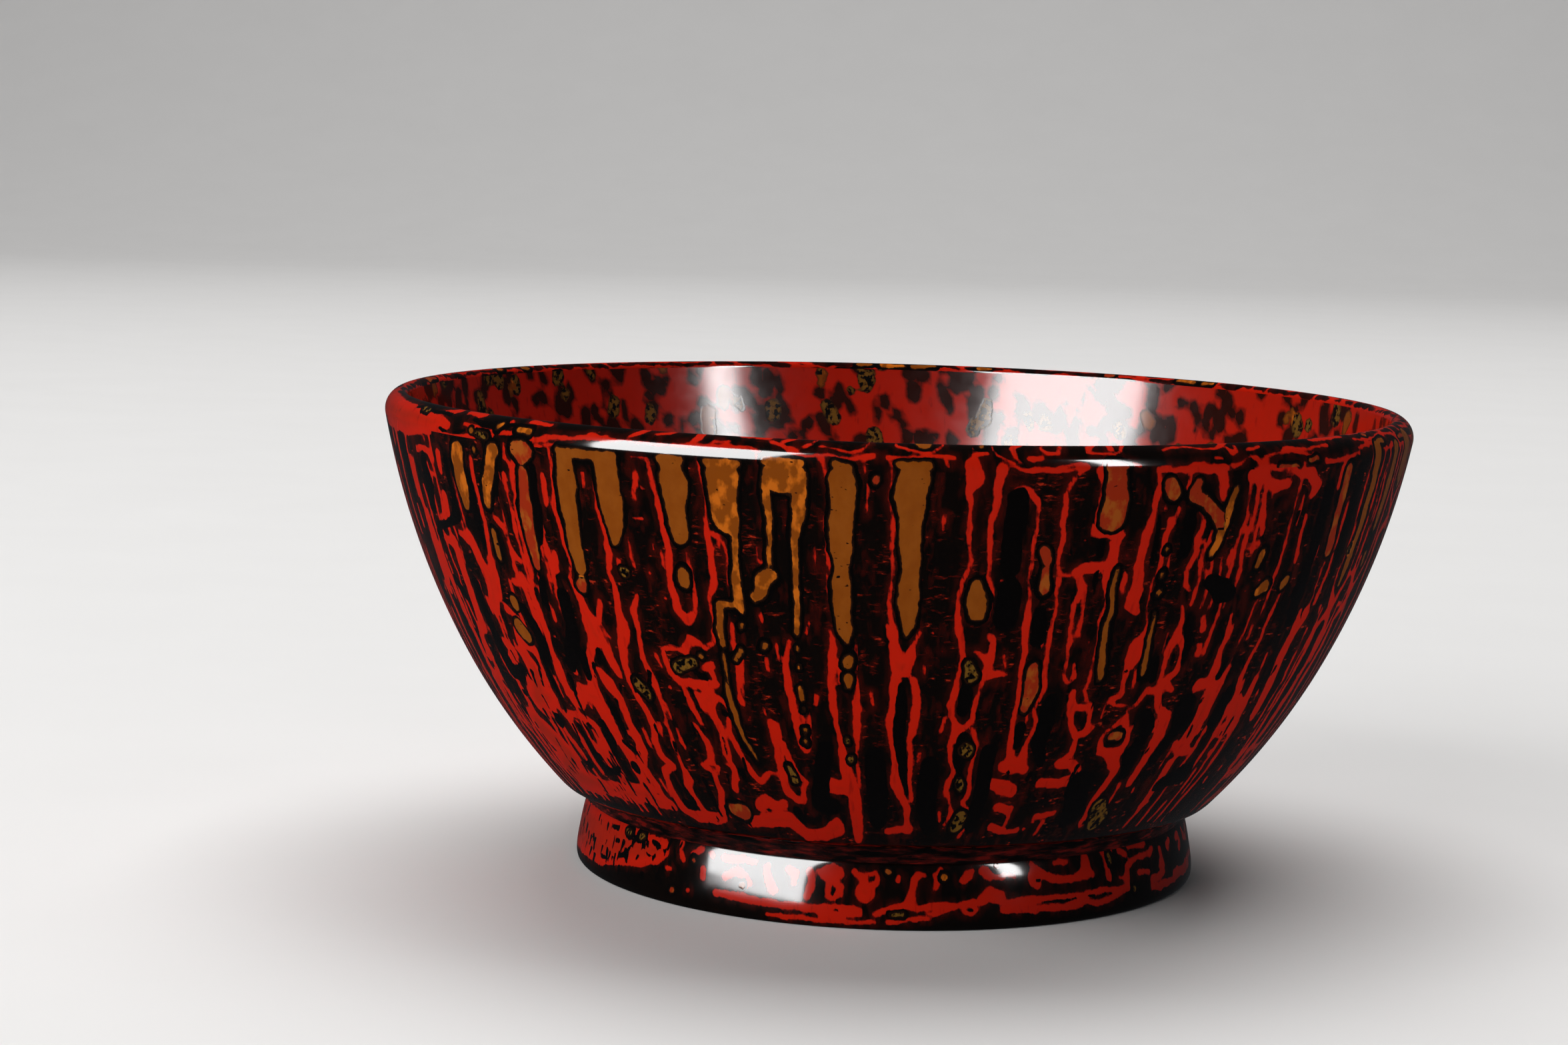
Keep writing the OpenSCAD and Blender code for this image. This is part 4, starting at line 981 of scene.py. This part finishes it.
def lay(field, stroke, azimuth, along, warp, turn_mm, blend=0.0):
    """Brings the distance to one stroke into a field, and says where it is now the nearest."""
    middle = (min(p[0] for p in stroke) + max(p[0] for p in stroke)) / 2
    turns = (azimuth - middle + 180) % 360 - 180
    wide = (max(p[0] for p in stroke) - middle) + (FAR + 2) / turn_mm
    columns = np.flatnonzero(np.abs(turns) < wide)
    low, high = min(p[1] for p in stroke) - FAR - 2, max(p[1] for p in stroke) + FAR + 2
    rows = np.flatnonzero((along > low) & (along < high))
    if not len(rows) or not len(columns):
        return None, None
    block = np.ix_(rows, columns)
    across = turns[columns][None, :] * turn_mm + warp[0][block]
    height = along[rows][:, None] + warp[1][block]
    points = [((p[0] - middle) * turn_mm, p[1], p[2]) for p in stroke]
    points = points * 2 if len(points) == 1 else points
    nearest = np.full(across.shape, 99.0)
    for (x0, z0, w0), (x1, z1, w1) in zip(points, points[1:]):
        dx, dz = x1 - x0, z1 - z0
        t = np.clip(((across - x0) * dx + (height - z0) * dz) / max(dx * dx + dz * dz, 1e-9), 0, 1)
        gap = np.hypot(across - x0 - t * dx, height - z0 - t * dz) - (w0 + t * (w1 - w0))
        nearest = np.minimum(nearest, gap)
    old = field[block]
    closer = nearest < old
    if blend:
        mixed = np.clip(0.5 + 0.5 * (old - nearest) / blend, 0, 1)
        field[block] = old * (1 - mixed) + nearest * mixed - blend * mixed * (1 - mixed)
    else:
        field[block] = np.minimum(old, nearest)
    return block, closer


def paint(piece, strokes, azimuth, along, back_rows, seed, turn_mm=ARC, wobble=0.22, span=None):
    """Works out the marbling of one skin from its strokes and keeps it on the mesh."""
    cores, reds, blacks = strokes
    rng = np.random.RandomState(seed)
    warp = [wobble * ring_noise(rng, azimuth, along, 2.4, span)
            + 0.5 * wobble * ring_noise(rng, azimuth, along, 1.1, span) for _ in range(2)]
    shape = (len(along), len(azimuth))
    core, black, red = (np.full(shape, FAR) for _ in range(3))
    kind = np.zeros(shape)
    for colour, stroke in cores:
        block, closer = lay(core, stroke, azimuth, along, warp, turn_mm)
        if block:
            kind[block] = np.where(closer, colour, kind[block])
    for stroke in blacks:
        lay(black, stroke, azimuth, along, warp, turn_mm)
    for stroke in reds:
        lay(red, stroke, azimuth, along, warp, turn_mm, blend=0.5)
    gap = BLACK_GAP * (1 + 0.4 * ring_noise(rng, azimuth, along, 3.5, span))
    black = np.minimum(black, core - gap)
    height = np.repeat(along[:, None], len(azimuth), 1)
    fields = {"core": core, "black": black, "red": red, "kind": kind, "height": height}
    for name, values in fields.items():
        store(piece, name, values, back_rows)


# ---------------------------------------------------------------- materials
class Shader:
    """A material's nodes, with short calls that each add one."""

    def __init__(self, name):
        self.material = bpy.data.materials.new(name)
        self.material.use_nodes = True
        self.tree = self.material.node_tree
        self.surface = self.tree.nodes["Principled BSDF"]

    def add(self, kind, **settings):
        node = self.tree.nodes.new(kind)
        for key, value in settings.items():
            setattr(node, key, value)
        return node

    def put(self, socket, value):
        """Links a socket to an output, or sets its value."""
        if isinstance(value, bpy.types.NodeSocket):
            self.tree.links.new(value, socket)
        else:
            socket.default_value = value

    def math(self, operation, a, b=0.0, clamp=False):
        node = self.add("ShaderNodeMath", operation=operation, use_clamp=clamp)
        self.put(node.inputs[0], a)
        self.put(node.inputs[1], b)
        return node.outputs[0]

    def vector(self, operation, a, b=(1.0, 1.0, 1.0)):
        node = self.add("ShaderNodeVectorMath", operation=operation)
        self.put(node.inputs[0], a)
        self.put(node.inputs[1], b)
        return node.outputs[0]

    def attribute(self, name):
        return self.add("ShaderNodeAttribute", attribute_name=name).outputs["Fac"]

    def noise(self, place, size, detail=2.0, roughness=0.55):
        """Smooth noise from about 0 to 1 whose features are about size mm across."""
        node = self.add("ShaderNodeTexNoise")
        self.put(node.inputs["Vector"], place)
        self.put(node.inputs["Scale"], 1.0 / size)
        self.put(node.inputs["Detail"], detail)
        self.put(node.inputs["Roughness"], roughness)
        return node.outputs["Fac"]

    def band(self, value, low, high):
        """0 at low, 1 at high, and a straight run between."""
        node = self.add("ShaderNodeMapRange")
        self.put(node.inputs["Value"], value)
        self.put(node.inputs["From Min"], low)
        self.put(node.inputs["From Max"], high)
        return node.outputs["Result"]

    def mix(self, factor, a, b):
        node = self.add("ShaderNodeMix", data_type="RGBA")
        self.put(node.inputs["Factor"], factor)
        self.put(node.inputs[6], a)
        self.put(node.inputs[7], b)
        return node.outputs[2]

    def bump(self, height, distance, strength=1.0):
        node = self.add("ShaderNodeBump")
        self.put(node.inputs["Height"], height)
        self.put(node.inputs["Distance"], distance)
        self.put(node.inputs["Strength"], strength)
        self.put(self.surface.inputs["Normal"], node.outputs["Normal"])

    def place(self, stretch=(1.0, 1.0, 1.0)):
        """The surface point in mm in the bowl's own frame, stretched."""
        point = self.add("ShaderNodeTexCoord").outputs["Object"]
        return self.vector("MULTIPLY", point, tuple(s / MM for s in stretch))

    def wrapped(self, round_stretch=1.0, up_stretch=1.0):
        """The place on the skin in mm: round the bowl, and by the height kept on the mesh, so that
        marks keep their shape from the lip to the foot."""
        point = self.add("ShaderNodeTexCoord").outputs["Object"]
        flat = self.vector("NORMALIZE", self.vector("MULTIPLY", point, (1.0, 1.0, 0.0)))
        round_mm = self.vector("MULTIPLY", flat, (65.0 * round_stretch,) * 2 + (0.0,))
        up = self.add("ShaderNodeCombineXYZ")
        self.put(up.inputs[2], self.math("MULTIPLY", self.attribute("height"), up_stretch))
        return self.vector("ADD", round_mm, up.outputs[0])


def colour(red, green, blue):
    return (red, green, blue, 1.0)


VERMILION = colour(0.54, 0.012, 0.002)
DEEP_RED = colour(0.19, 0.005, 0.002)
INK = colour(0.0015, 0.0009, 0.0008)
BROWN = colour(0.020, 0.006, 0.002)
UMBER = colour(0.026, 0.0032, 0.001)
EMBER = colour(0.045, 0.0025, 0.001)
OCHRE_TAN = colour(0.225, 0.052, 0.003)
OCHRE_GOLD = colour(0.55, 0.130, 0.007)
OCHRE_DULL = colour(0.17, 0.080, 0.010)
BRICK_RED = colour(0.30, 0.022, 0.004)
# Roughness of the polish, and how much nearer the rim thins each side of a red line, in mm
GLOSS = 0.09
THINNER = 0.12


def polished(shader, gloss=GLOSS):
    """The shine that every lacquered face shares: deep, even, with faint rubbing marks."""
    surface = shader.surface
    surface.inputs["IOR"].default_value = 1.45
    rubbed = shader.band(shader.noise(shader.place(), 1.7, 3.0), -1.17, 2.17)
    shader.put(surface.inputs["Roughness"], shader.math("MULTIPLY", rubbed, 2 * gloss))


def specks(shader, place, amount):
    """The dark ground: soft clouds of dark red, and tiny red specks in level rungs."""
    grain = shader.noise(place, 0.75, 2.0, 0.6)
    patch = shader.noise(shader.wrapped(), 5.0, 2.0)
    value = shader.math("ADD", grain, shader.math("MULTIPLY", patch, 0.55))
    dim = shader.band(value, 0.87 - amount, 0.99 - amount)
    bright = shader.band(value, 1.00 - amount, 1.03 - amount)
    cloud = shader.noise(shader.wrapped(1.0, 0.45), 1.6, 3.0)
    ground = shader.mix(patch, INK, colour(0.005, 0.002, 0.001))
    ground = shader.mix(shader.band(cloud, 0.54 - amount, 0.74 - amount), ground, EMBER)
    ground = shader.mix(dim, ground, colour(0.06, 0.003, 0.001))
    return shader.mix(bright, ground, colour(0.34, 0.02, 0.005))


def marbled(name, soft=1.0, speck_amount=0.0, gloss=GLOSS, dark=INK):
    """Lacquer whose bands follow the distances kept on the mesh. The dark bands' edges have the
    softness given."""
    s = Shader(name)
    wrap = s.wrapped()
    fine = s.math("MULTIPLY", s.math("SUBTRACT", s.noise(wrap, 0.9, 3.0), 0.5), 0.46)
    wide = s.math("MULTIPLY", s.math("SUBTRACT", s.noise(wrap, 2.6, 2.0), 0.5), 0.4)
    core = s.math("ADD", s.attribute("core"), fine)
    black = s.math("ADD", s.attribute("black"), fine)
    red = s.math("ADD", s.attribute("red"), s.math("ADD", fine, wide))
    # the lines are drawn out thinner towards the rim
    red = s.math("ADD", red, s.math("MULTIPLY", s.band(s.attribute("height"), 22.0, 46.0), THINNER))
    look = specks(s, s.wrapped(0.55, 1.7), speck_amount)
    # the red line, a touch deeper in the middle of its widest stretches
    body = s.mix(s.band(red, -0.7, -1.6), VERMILION, colour(0.40, 0.014, 0.003))
    streak = s.band(s.noise(s.wrapped(1.2, 0.4), 1.1, 2.0), 0.62, 0.74)
    body = s.mix(s.math("MULTIPLY", streak, 0.45), body, DEEP_RED)
    halo = s.band(s.noise(s.wrapped(1.0, 0.5), 1.4, 2.0), 0.40, 0.62)
    look = s.mix(s.math("MULTIPLY", s.band(red, 0.9, 0.05), halo), look, EMBER)
    look = s.mix(s.band(red, 0.10, 0.02), look, DEEP_RED)
    look = s.mix(s.band(red, 0.03, -0.05), look, body)
    look = s.mix(s.band(black, 0.04 * soft, -0.04 * soft), look, dark)
    # the cores, each with a dark brown edge
    kind = s.attribute("kind")
    mottle = s.noise(s.wrapped(1.0, 0.7), 1.6, 3.0)
    ochre = s.mix(s.band(mottle, 0.35, 0.65), OCHRE_TAN, colour(0.26, 0.066, 0.005))
    gold = s.mix(s.band(mottle, 0.46, 0.58), OCHRE_TAN, OCHRE_GOLD)
    dull = s.mix(s.band(s.noise(wrap, 0.8, 2.0), 0.45, 0.55), INK, OCHRE_DULL)
    brick = s.mix(s.band(mottle, 0.50, 0.62), BRICK_RED, colour(0.34, 0.075, 0.008))
    paint_colour = s.mix(s.band(kind, 0.4, 0.6), ochre, gold)
    paint_colour = s.mix(s.band(kind, 1.4, 1.6), paint_colour, dull)
    paint_colour = s.mix(s.band(kind, 2.4, 2.6), paint_colour, brick)
    pits = s.band(s.noise(s.wrapped(0.6, 1.6), 0.55, 1.0), 0.74, 0.78)
    paint_colour = s.mix(pits, paint_colour, INK)
    look = s.mix(s.band(core, 0.24, 0.05), look, BROWN)
    look = s.mix(s.band(core, 0.03 * soft, -0.04 * soft), look, paint_colour)
    s.put(s.surface.inputs["Base Color"], look)
    polished(s, gloss)
    s.bump(s.band(core, 0.1, -0.1), 0.004 * MM, 0.6)
    return s.material


def streaked_neck():
    """The groove over the foot: dark red-brown, drawn out level by the brush."""
    s = Shader("neck_lacquer")
    level = s.noise(s.wrapped(0.16, 1.6), 1.0, 3.0, 0.6)
    look = s.mix(s.band(level, 0.42, 0.60), INK, colour(0.07, 0.004, 0.002))
    look = s.mix(s.band(level, 0.58, 0.64), look, DEEP_RED)
    s.put(s.surface.inputs["Base Color"], look)
    polished(s, 0.14)
    return s.material


def plain_black():
    """The recess under the bowl: black lacquer with a faint brown bloom and rubbing marks."""
    s = Shader("base_lacquer")
    bloom = s.noise(s.place(), 11.0, 3.0)
    look = s.mix(s.band(bloom, 0.35, 0.75), INK, colour(0.014, 0.006, 0.004))
    s.put(s.surface.inputs["Base Color"], look)
    polished(s, 0.12)
    return s.material


def turned_wood():
    """Fine pale hardwood, with its rings running along the block it was turned from."""
    s = Shader("turned_wood")
    rings = s.add("ShaderNodeTexWave", wave_type="RINGS", rings_direction="X")
    s.put(rings.inputs["Vector"], s.place((1.0, 1.0, 0.12)))
    s.put(rings.inputs["Scale"], 0.12)
    s.put(rings.inputs["Distortion"], 3.0)
    look = s.mix(rings.outputs["Fac"], colour(0.47, 0.28, 0.12), colour(0.60, 0.40, 0.20))
    pores = s.noise(s.place((3.0, 3.0, 0.3)), 1.0, 2.0)
    look = s.mix(s.band(pores, 0.62, 0.72), look, colour(0.30, 0.16, 0.07))
    s.put(s.surface.inputs["Base Color"], look)
    s.put(s.surface.inputs["Roughness"], s.band(pores, -0.6, 1.4))
    s.bump(pores, 0.05 * MM)
    return s.material


def hemp_cloth():
    """Plain-woven hemp, a thread every 0.9 mm, stiff with lacquer."""
    s = Shader("hemp_cloth")
    place = s.place()
    split = s.add("ShaderNodeSeparateXYZ")
    s.put(split.inputs[0], place)
    thread = 2 * math.pi / 0.9
    warp = s.math("SINE", s.math("MULTIPLY", split.outputs[0], thread))
    weft = s.math("SINE", s.math("MULTIPLY", split.outputs[1], thread))
    weave = s.math("MULTIPLY", s.math("ABSOLUTE", warp), s.math("ABSOLUTE", weft))
    tone = s.math("ADD", s.math("MULTIPLY", weave, 0.6), s.math("MULTIPLY", s.noise(place, 2.0), 0.4))
    look = s.mix(tone, colour(0.22, 0.15, 0.08), colour(0.52, 0.42, 0.28))
    s.put(s.surface.inputs["Base Color"], look)
    s.put(s.surface.inputs["Roughness"], s.band(tone, 1.6, 0.2))
    s.bump(weave, 0.12 * MM)
    return s.material


def lacquer_putty():
    """Raw lacquer mixed with fine clay, ground flat."""
    s = Shader("lacquer_putty")
    grain = s.noise(s.place(), 0.5, 4.0, 0.7)
    cloud = s.noise(s.place(), 6.0, 2.0)
    tone = s.math("ADD", s.math("MULTIPLY", grain, 0.5), s.math("MULTIPLY", cloud, 0.5))
    look = s.mix(tone, colour(0.05, 0.030, 0.020), colour(0.17, 0.11, 0.07))
    s.put(s.surface.inputs["Base Color"], look)
    s.put(s.surface.inputs["Roughness"], s.band(grain, -1.0, 1.4))
    s.bump(grain, 0.03 * MM)
    return s.material


# ---------------------------------------------------------------- pieces
def dress(piece, material, node):
    piece.data.materials.clear()
    piece.data.materials.append(material)
    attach(piece, "root")
    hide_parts(node)


def joined(*parts):
    return tuple(sum((list(part[i]) for part in parts), []) for i in range(3))


def keep_height(piece, heights, columns, back_rows):
    store(piece, "height", np.repeat(heights[:, None], columns, 1), back_rows)


def front_drips():
    """The listed strokes of the outside, with the flat tops of the drips laid as short bars."""
    bars = []
    for kind, azimuth, top, width in TOPS:
        reach = (width - TOP_EDGE) / ARC
        for share, drop, half in ((1, TOP_EDGE, TOP_EDGE), (0.6, 1.2, 0.6)):
            ends = (azimuth - reach * share, azimuth + reach * share)
            bars.append((kind, [(end, top - drop, half) for end in ends]))
    return CORES + bars, REDS, BLACKS


def outside_strokes():
    """All that is dripped on the wall and runs on over the lip."""
    rng = np.random.RandomState(23)
    return joined(front_drips(), scattered_wall(np.random.RandomState(21), 61, 278),
                  side_streaks(rng, -82, -60, 0.55, (0.3, 0.7)),
                  side_streaks(rng, -60, -38, 0.8, (0.2, 0.5)),
                  side_streaks(rng, 34, 66, 1.3, (0.2, 0.4)),
                  flecks(rng, -82, -24, 190),
                  flecks(rng, -24, 66, 130),
                  gaps(rng, -82, -18, 12, 32, 130, 3.6),
                  gaps(rng, 18, 60, 12, 54, 60, 2.4))


def make_wall():
    """The outer wall: marbled stroke by stroke across the front, with small random marks between the
    strokes, and at random round the rest."""
    back_rows = 8
    piece, azimuth, face, _ = turned("marbled_wall", wall_outline, 1000, 90, back_rows, seed=3)
    paint(piece, outside_strokes(), azimuth, face[:, 1], back_rows, seed=5, span=WALL_SPAN)
    dress(piece, marbled("wall_lacquer"), "outer_lacquer")


def make_lip():
    """The lip: the tops of the wall's drips, and over them a net of red round level black cells."""
    back_rows = 14
    piece, azimuth, face, along = turned("marbled_lip", lip_outline, 1000, 30, back_rows,
                                         seed=7, wave=FINE_WAVE)
    heights = face[-1, 1] + along[-1] - along
    rng = np.random.RandomState(31)
    strokes = joined(outside_strokes(), (LIP_CORES, LIP_REDS, LIP_BLACKS), net(rng, 56, 278, 58.4, 64),
                     net(rng, -82, 56, 62, 64))
    paint(piece, strokes, azimuth, heights, back_rows, seed=5, span=WALL_SPAN)
    dress(piece, marbled("rim_lacquer", speck_amount=-0.1), "rim_lacquer")


def blot(fields, points, along, start, end, kind):
    """Brings one rounded blot into the inside's fields. Its ends are (point, half width)."""
    (a, wide_a, low), (b, wide_b, high) = start, end
    rows = np.flatnonzero((along > low - FAR) & (along < high + FAR))
    near = points[rows]
    run = b - a
    t = np.clip((near - a) @ run / (run @ run), 0, 1)
    gap = np.linalg.norm(near - a - t[..., None] * run, axis=2) - wide_a - t * (wide_b - wide_a)
    field = fields["black" if kind is None else "core"]
    if kind is not None:
        fields["kind"][rows] = np.where(gap < field[rows], kind, fields["kind"][rows])
    field[rows] = np.minimum(field[rows], gap)


def make_inside():
    """The inside: vermilion, crowded with rounded dark blots, most of them drawn out a little up
    the wall."""
    rows, back_rows, columns, count = 120, 40, 560, 3600
    piece, azimuth, face, along = turned("marbled_inside", inside_outline, columns, rows, back_rows,
                                         seed=11)
    turn = np.radians(azimuth)
    points = np.stack([face[:, :1] * np.sin(turn), -face[:, :1] * np.cos(turn),
                       np.repeat(face[:, 1:], columns, 1)], 2)
    fields = {name: np.full((rows, columns), value)
              for name, value in (("core", FAR), ("black", FAR), ("red", -1.2), ("kind", OCHRE))}
    rng = np.random.RandomState(33)
    share = np.cumsum(face[:, 0]) / face[:, 0].sum()
    for _ in range(count):
        middle, way = np.interp(rng.uniform(), share, along), rng.uniform(0, 2 * math.pi)
        reach = rng.uniform(0.05, 1.3)
        ends = []
        for place in (middle - reach, middle + reach):
            radius, height = (np.interp(place, along, face[:, i]) for i in (0, 1))
            angle = way + rng.uniform(-0.6, 0.6) / max(radius, 6.0)
            at = np.array([radius * math.sin(angle), -radius * math.cos(angle), height])
            ends.append((at, rng.uniform(0.35, 1.2), place))
        kind = rng.choice([None] * 18 + [OCHRE, DULL, DULL])
        blot(fields, points, along, ends[0], ends[1], kind)
    for name, values in fields.items():
        store(piece, name, values, back_rows)
    keep_height(piece, along, columns, back_rows)
    lacquer = marbled("inside_lacquer", soft=7.0, gloss=0.15, dark=UMBER)
    dress(piece, lacquer, "inner_lacquer")


def make_neck():
    columns, back_rows = 480, 8
    piece, azimuth, face, along = turned("dark_neck", neck_outline, columns, 16, back_rows,
                                         seed=13, wave=FINE_WAVE)
    keep_height(piece, along, columns, back_rows)
    dress(piece, streaked_neck(), "neck_lacquer")


def make_foot():
    """The foot ring: red figures on black over a red band, then plain black where it stands."""
    back_rows = 20
    piece, azimuth, face, _ = turned("marbled_foot", foot_outline, 720, 56, back_rows,
                                     seed=15, wave=FINE_WAVE)
    land = face[:, 1] < 0.01
    heights = np.where(land, face[:, 0] - FOOT_R + FOOT_ROUND, face[:, 1])
    rng = np.random.RandomState(41)
    strokes = joined((FOOT_CORES, FOOT_REDS, FOOT_BLACKS), foot_figures(rng, 57, 276),
                     gaps(rng, -86, -38, 2.5, 7.6, 60, 1.2))
    paint(piece, strokes, azimuth, heights, back_rows, 17, math.radians(1) * 39.3, 0.12)
    dress(piece, marbled("foot_lacquer", speck_amount=-0.2), "foot_lacquer")


def make_base():
    piece, *_ = turned("black_recess", base_outline, 480, 60, 30, seed=19)
    dress(piece, plain_black(), "base_lacquer")


def dress_frame():
    """The wood, cloth and putty under the lacquer keep their CAD shapes."""
    wood, hemp, putty = turned_wood(), hemp_cloth(), lacquer_putty()
    under = {"wood_core": wood, "rim_cloth": hemp, "foot_cloth": hemp,
             "outer_ground": putty, "inner_ground": putty, "foot_ground": putty}
    for name, material in under.items():
        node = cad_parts[name]
        node.data.materials.clear()
        node.data.materials.append(material)


# ---------------------------------------------------------------- floor, lights and world
def make_floor():
    """A pale sweep: flat under the bowl, then curving up far behind it."""
    half, back, turn_r, top = 4.0, 2.6, 0.8, 2.4
    bend = [(back - turn_r + turn_r * math.sin(a), turn_r - turn_r * math.cos(a))
            for a in np.linspace(0, math.pi / 2, 17)]
    path = [(-4.0, 0.0)] + bend + [(back, top)]
    vertices = [(x, y, z) for y, z in path for x in (-half, half)]
    faces = [(2 * i, 2 * i + 1, 2 * i + 3, 2 * i + 2) for i in range(len(path) - 1)]
    mesh = bpy.data.meshes.new("floor")
    mesh.from_pydata(vertices, [], faces)
    mesh.shade_smooth()
    floor = bpy.data.objects.new("floor", mesh)
    bpy.context.scene.collection.objects.link(floor)
    s = Shader("floor")
    grain = s.noise(s.place(), 40.0, 2.0)
    look = s.mix(grain, colour(0.78, 0.77, 0.76), colour(0.81, 0.80, 0.79))
    s.put(s.surface.inputs["Base Color"], look)
    s.surface.inputs["Roughness"].default_value = 0.9
    s.surface.inputs["Specular IOR Level"].default_value = 0.1
    mesh.materials.append(s.material)
    floor.visible_glossy = False


def softbox(name, azimuth, elevation, distance, width, height, power, shine):
    """A soft light that faces the bowl. Azimuth 0 is the camera's side and grows to the right. With
    shine it is seen in the polish alone, and without it it only lights."""
    a, e = math.radians(azimuth), math.radians(elevation)
    out = Vector((math.sin(a) * math.cos(e), -math.cos(a) * math.cos(e), math.sin(e)))
    data = bpy.data.lights.new(name, "AREA")
    data.shape = "RECTANGLE"
    data.size, data.size_y = width, height
    data.energy = power
    light = bpy.data.objects.new(name, data)
    light.location = Vector((0.0, 0.0, 0.04)) + out * distance
    light.rotation_mode = "QUATERNION"
    light.rotation_quaternion = out.to_track_quat("Z", "Y")
    light.visible_camera = False
    light.visible_glossy = shine
    light.visible_diffuse = not shine
    bpy.context.scene.collection.objects.link(light)


def make_lights():
    softbox("key", -47, 28, 1.1, 1.15, 0.75, 7.5, shine=False)
    softbox("overhead", 178, 72, 2.2, 2.2, 1.8, 50, shine=False)
    softbox("window", -47, 24, 1.1, 0.8, 0.86, 52, shine=True)
    softbox("strip", 48, 24, 1.3, 0.18, 0.66, 11, shine=True)
    world = bpy.data.worlds.new("studio")
    world.use_nodes = True
    world.node_tree.nodes["Background"].inputs["Color"].default_value = colour(0.9, 0.93, 1.0)
    world.node_tree.nodes["Background"].inputs["Strength"].default_value = 0.03
    bpy.context.scene.world = world
    bpy.context.scene.view_settings.view_transform = "Standard"


make_camera()
make_wall()
make_lip()
make_inside()
make_neck()
make_foot()
make_base()
dress_frame()
make_floor()
make_lights()
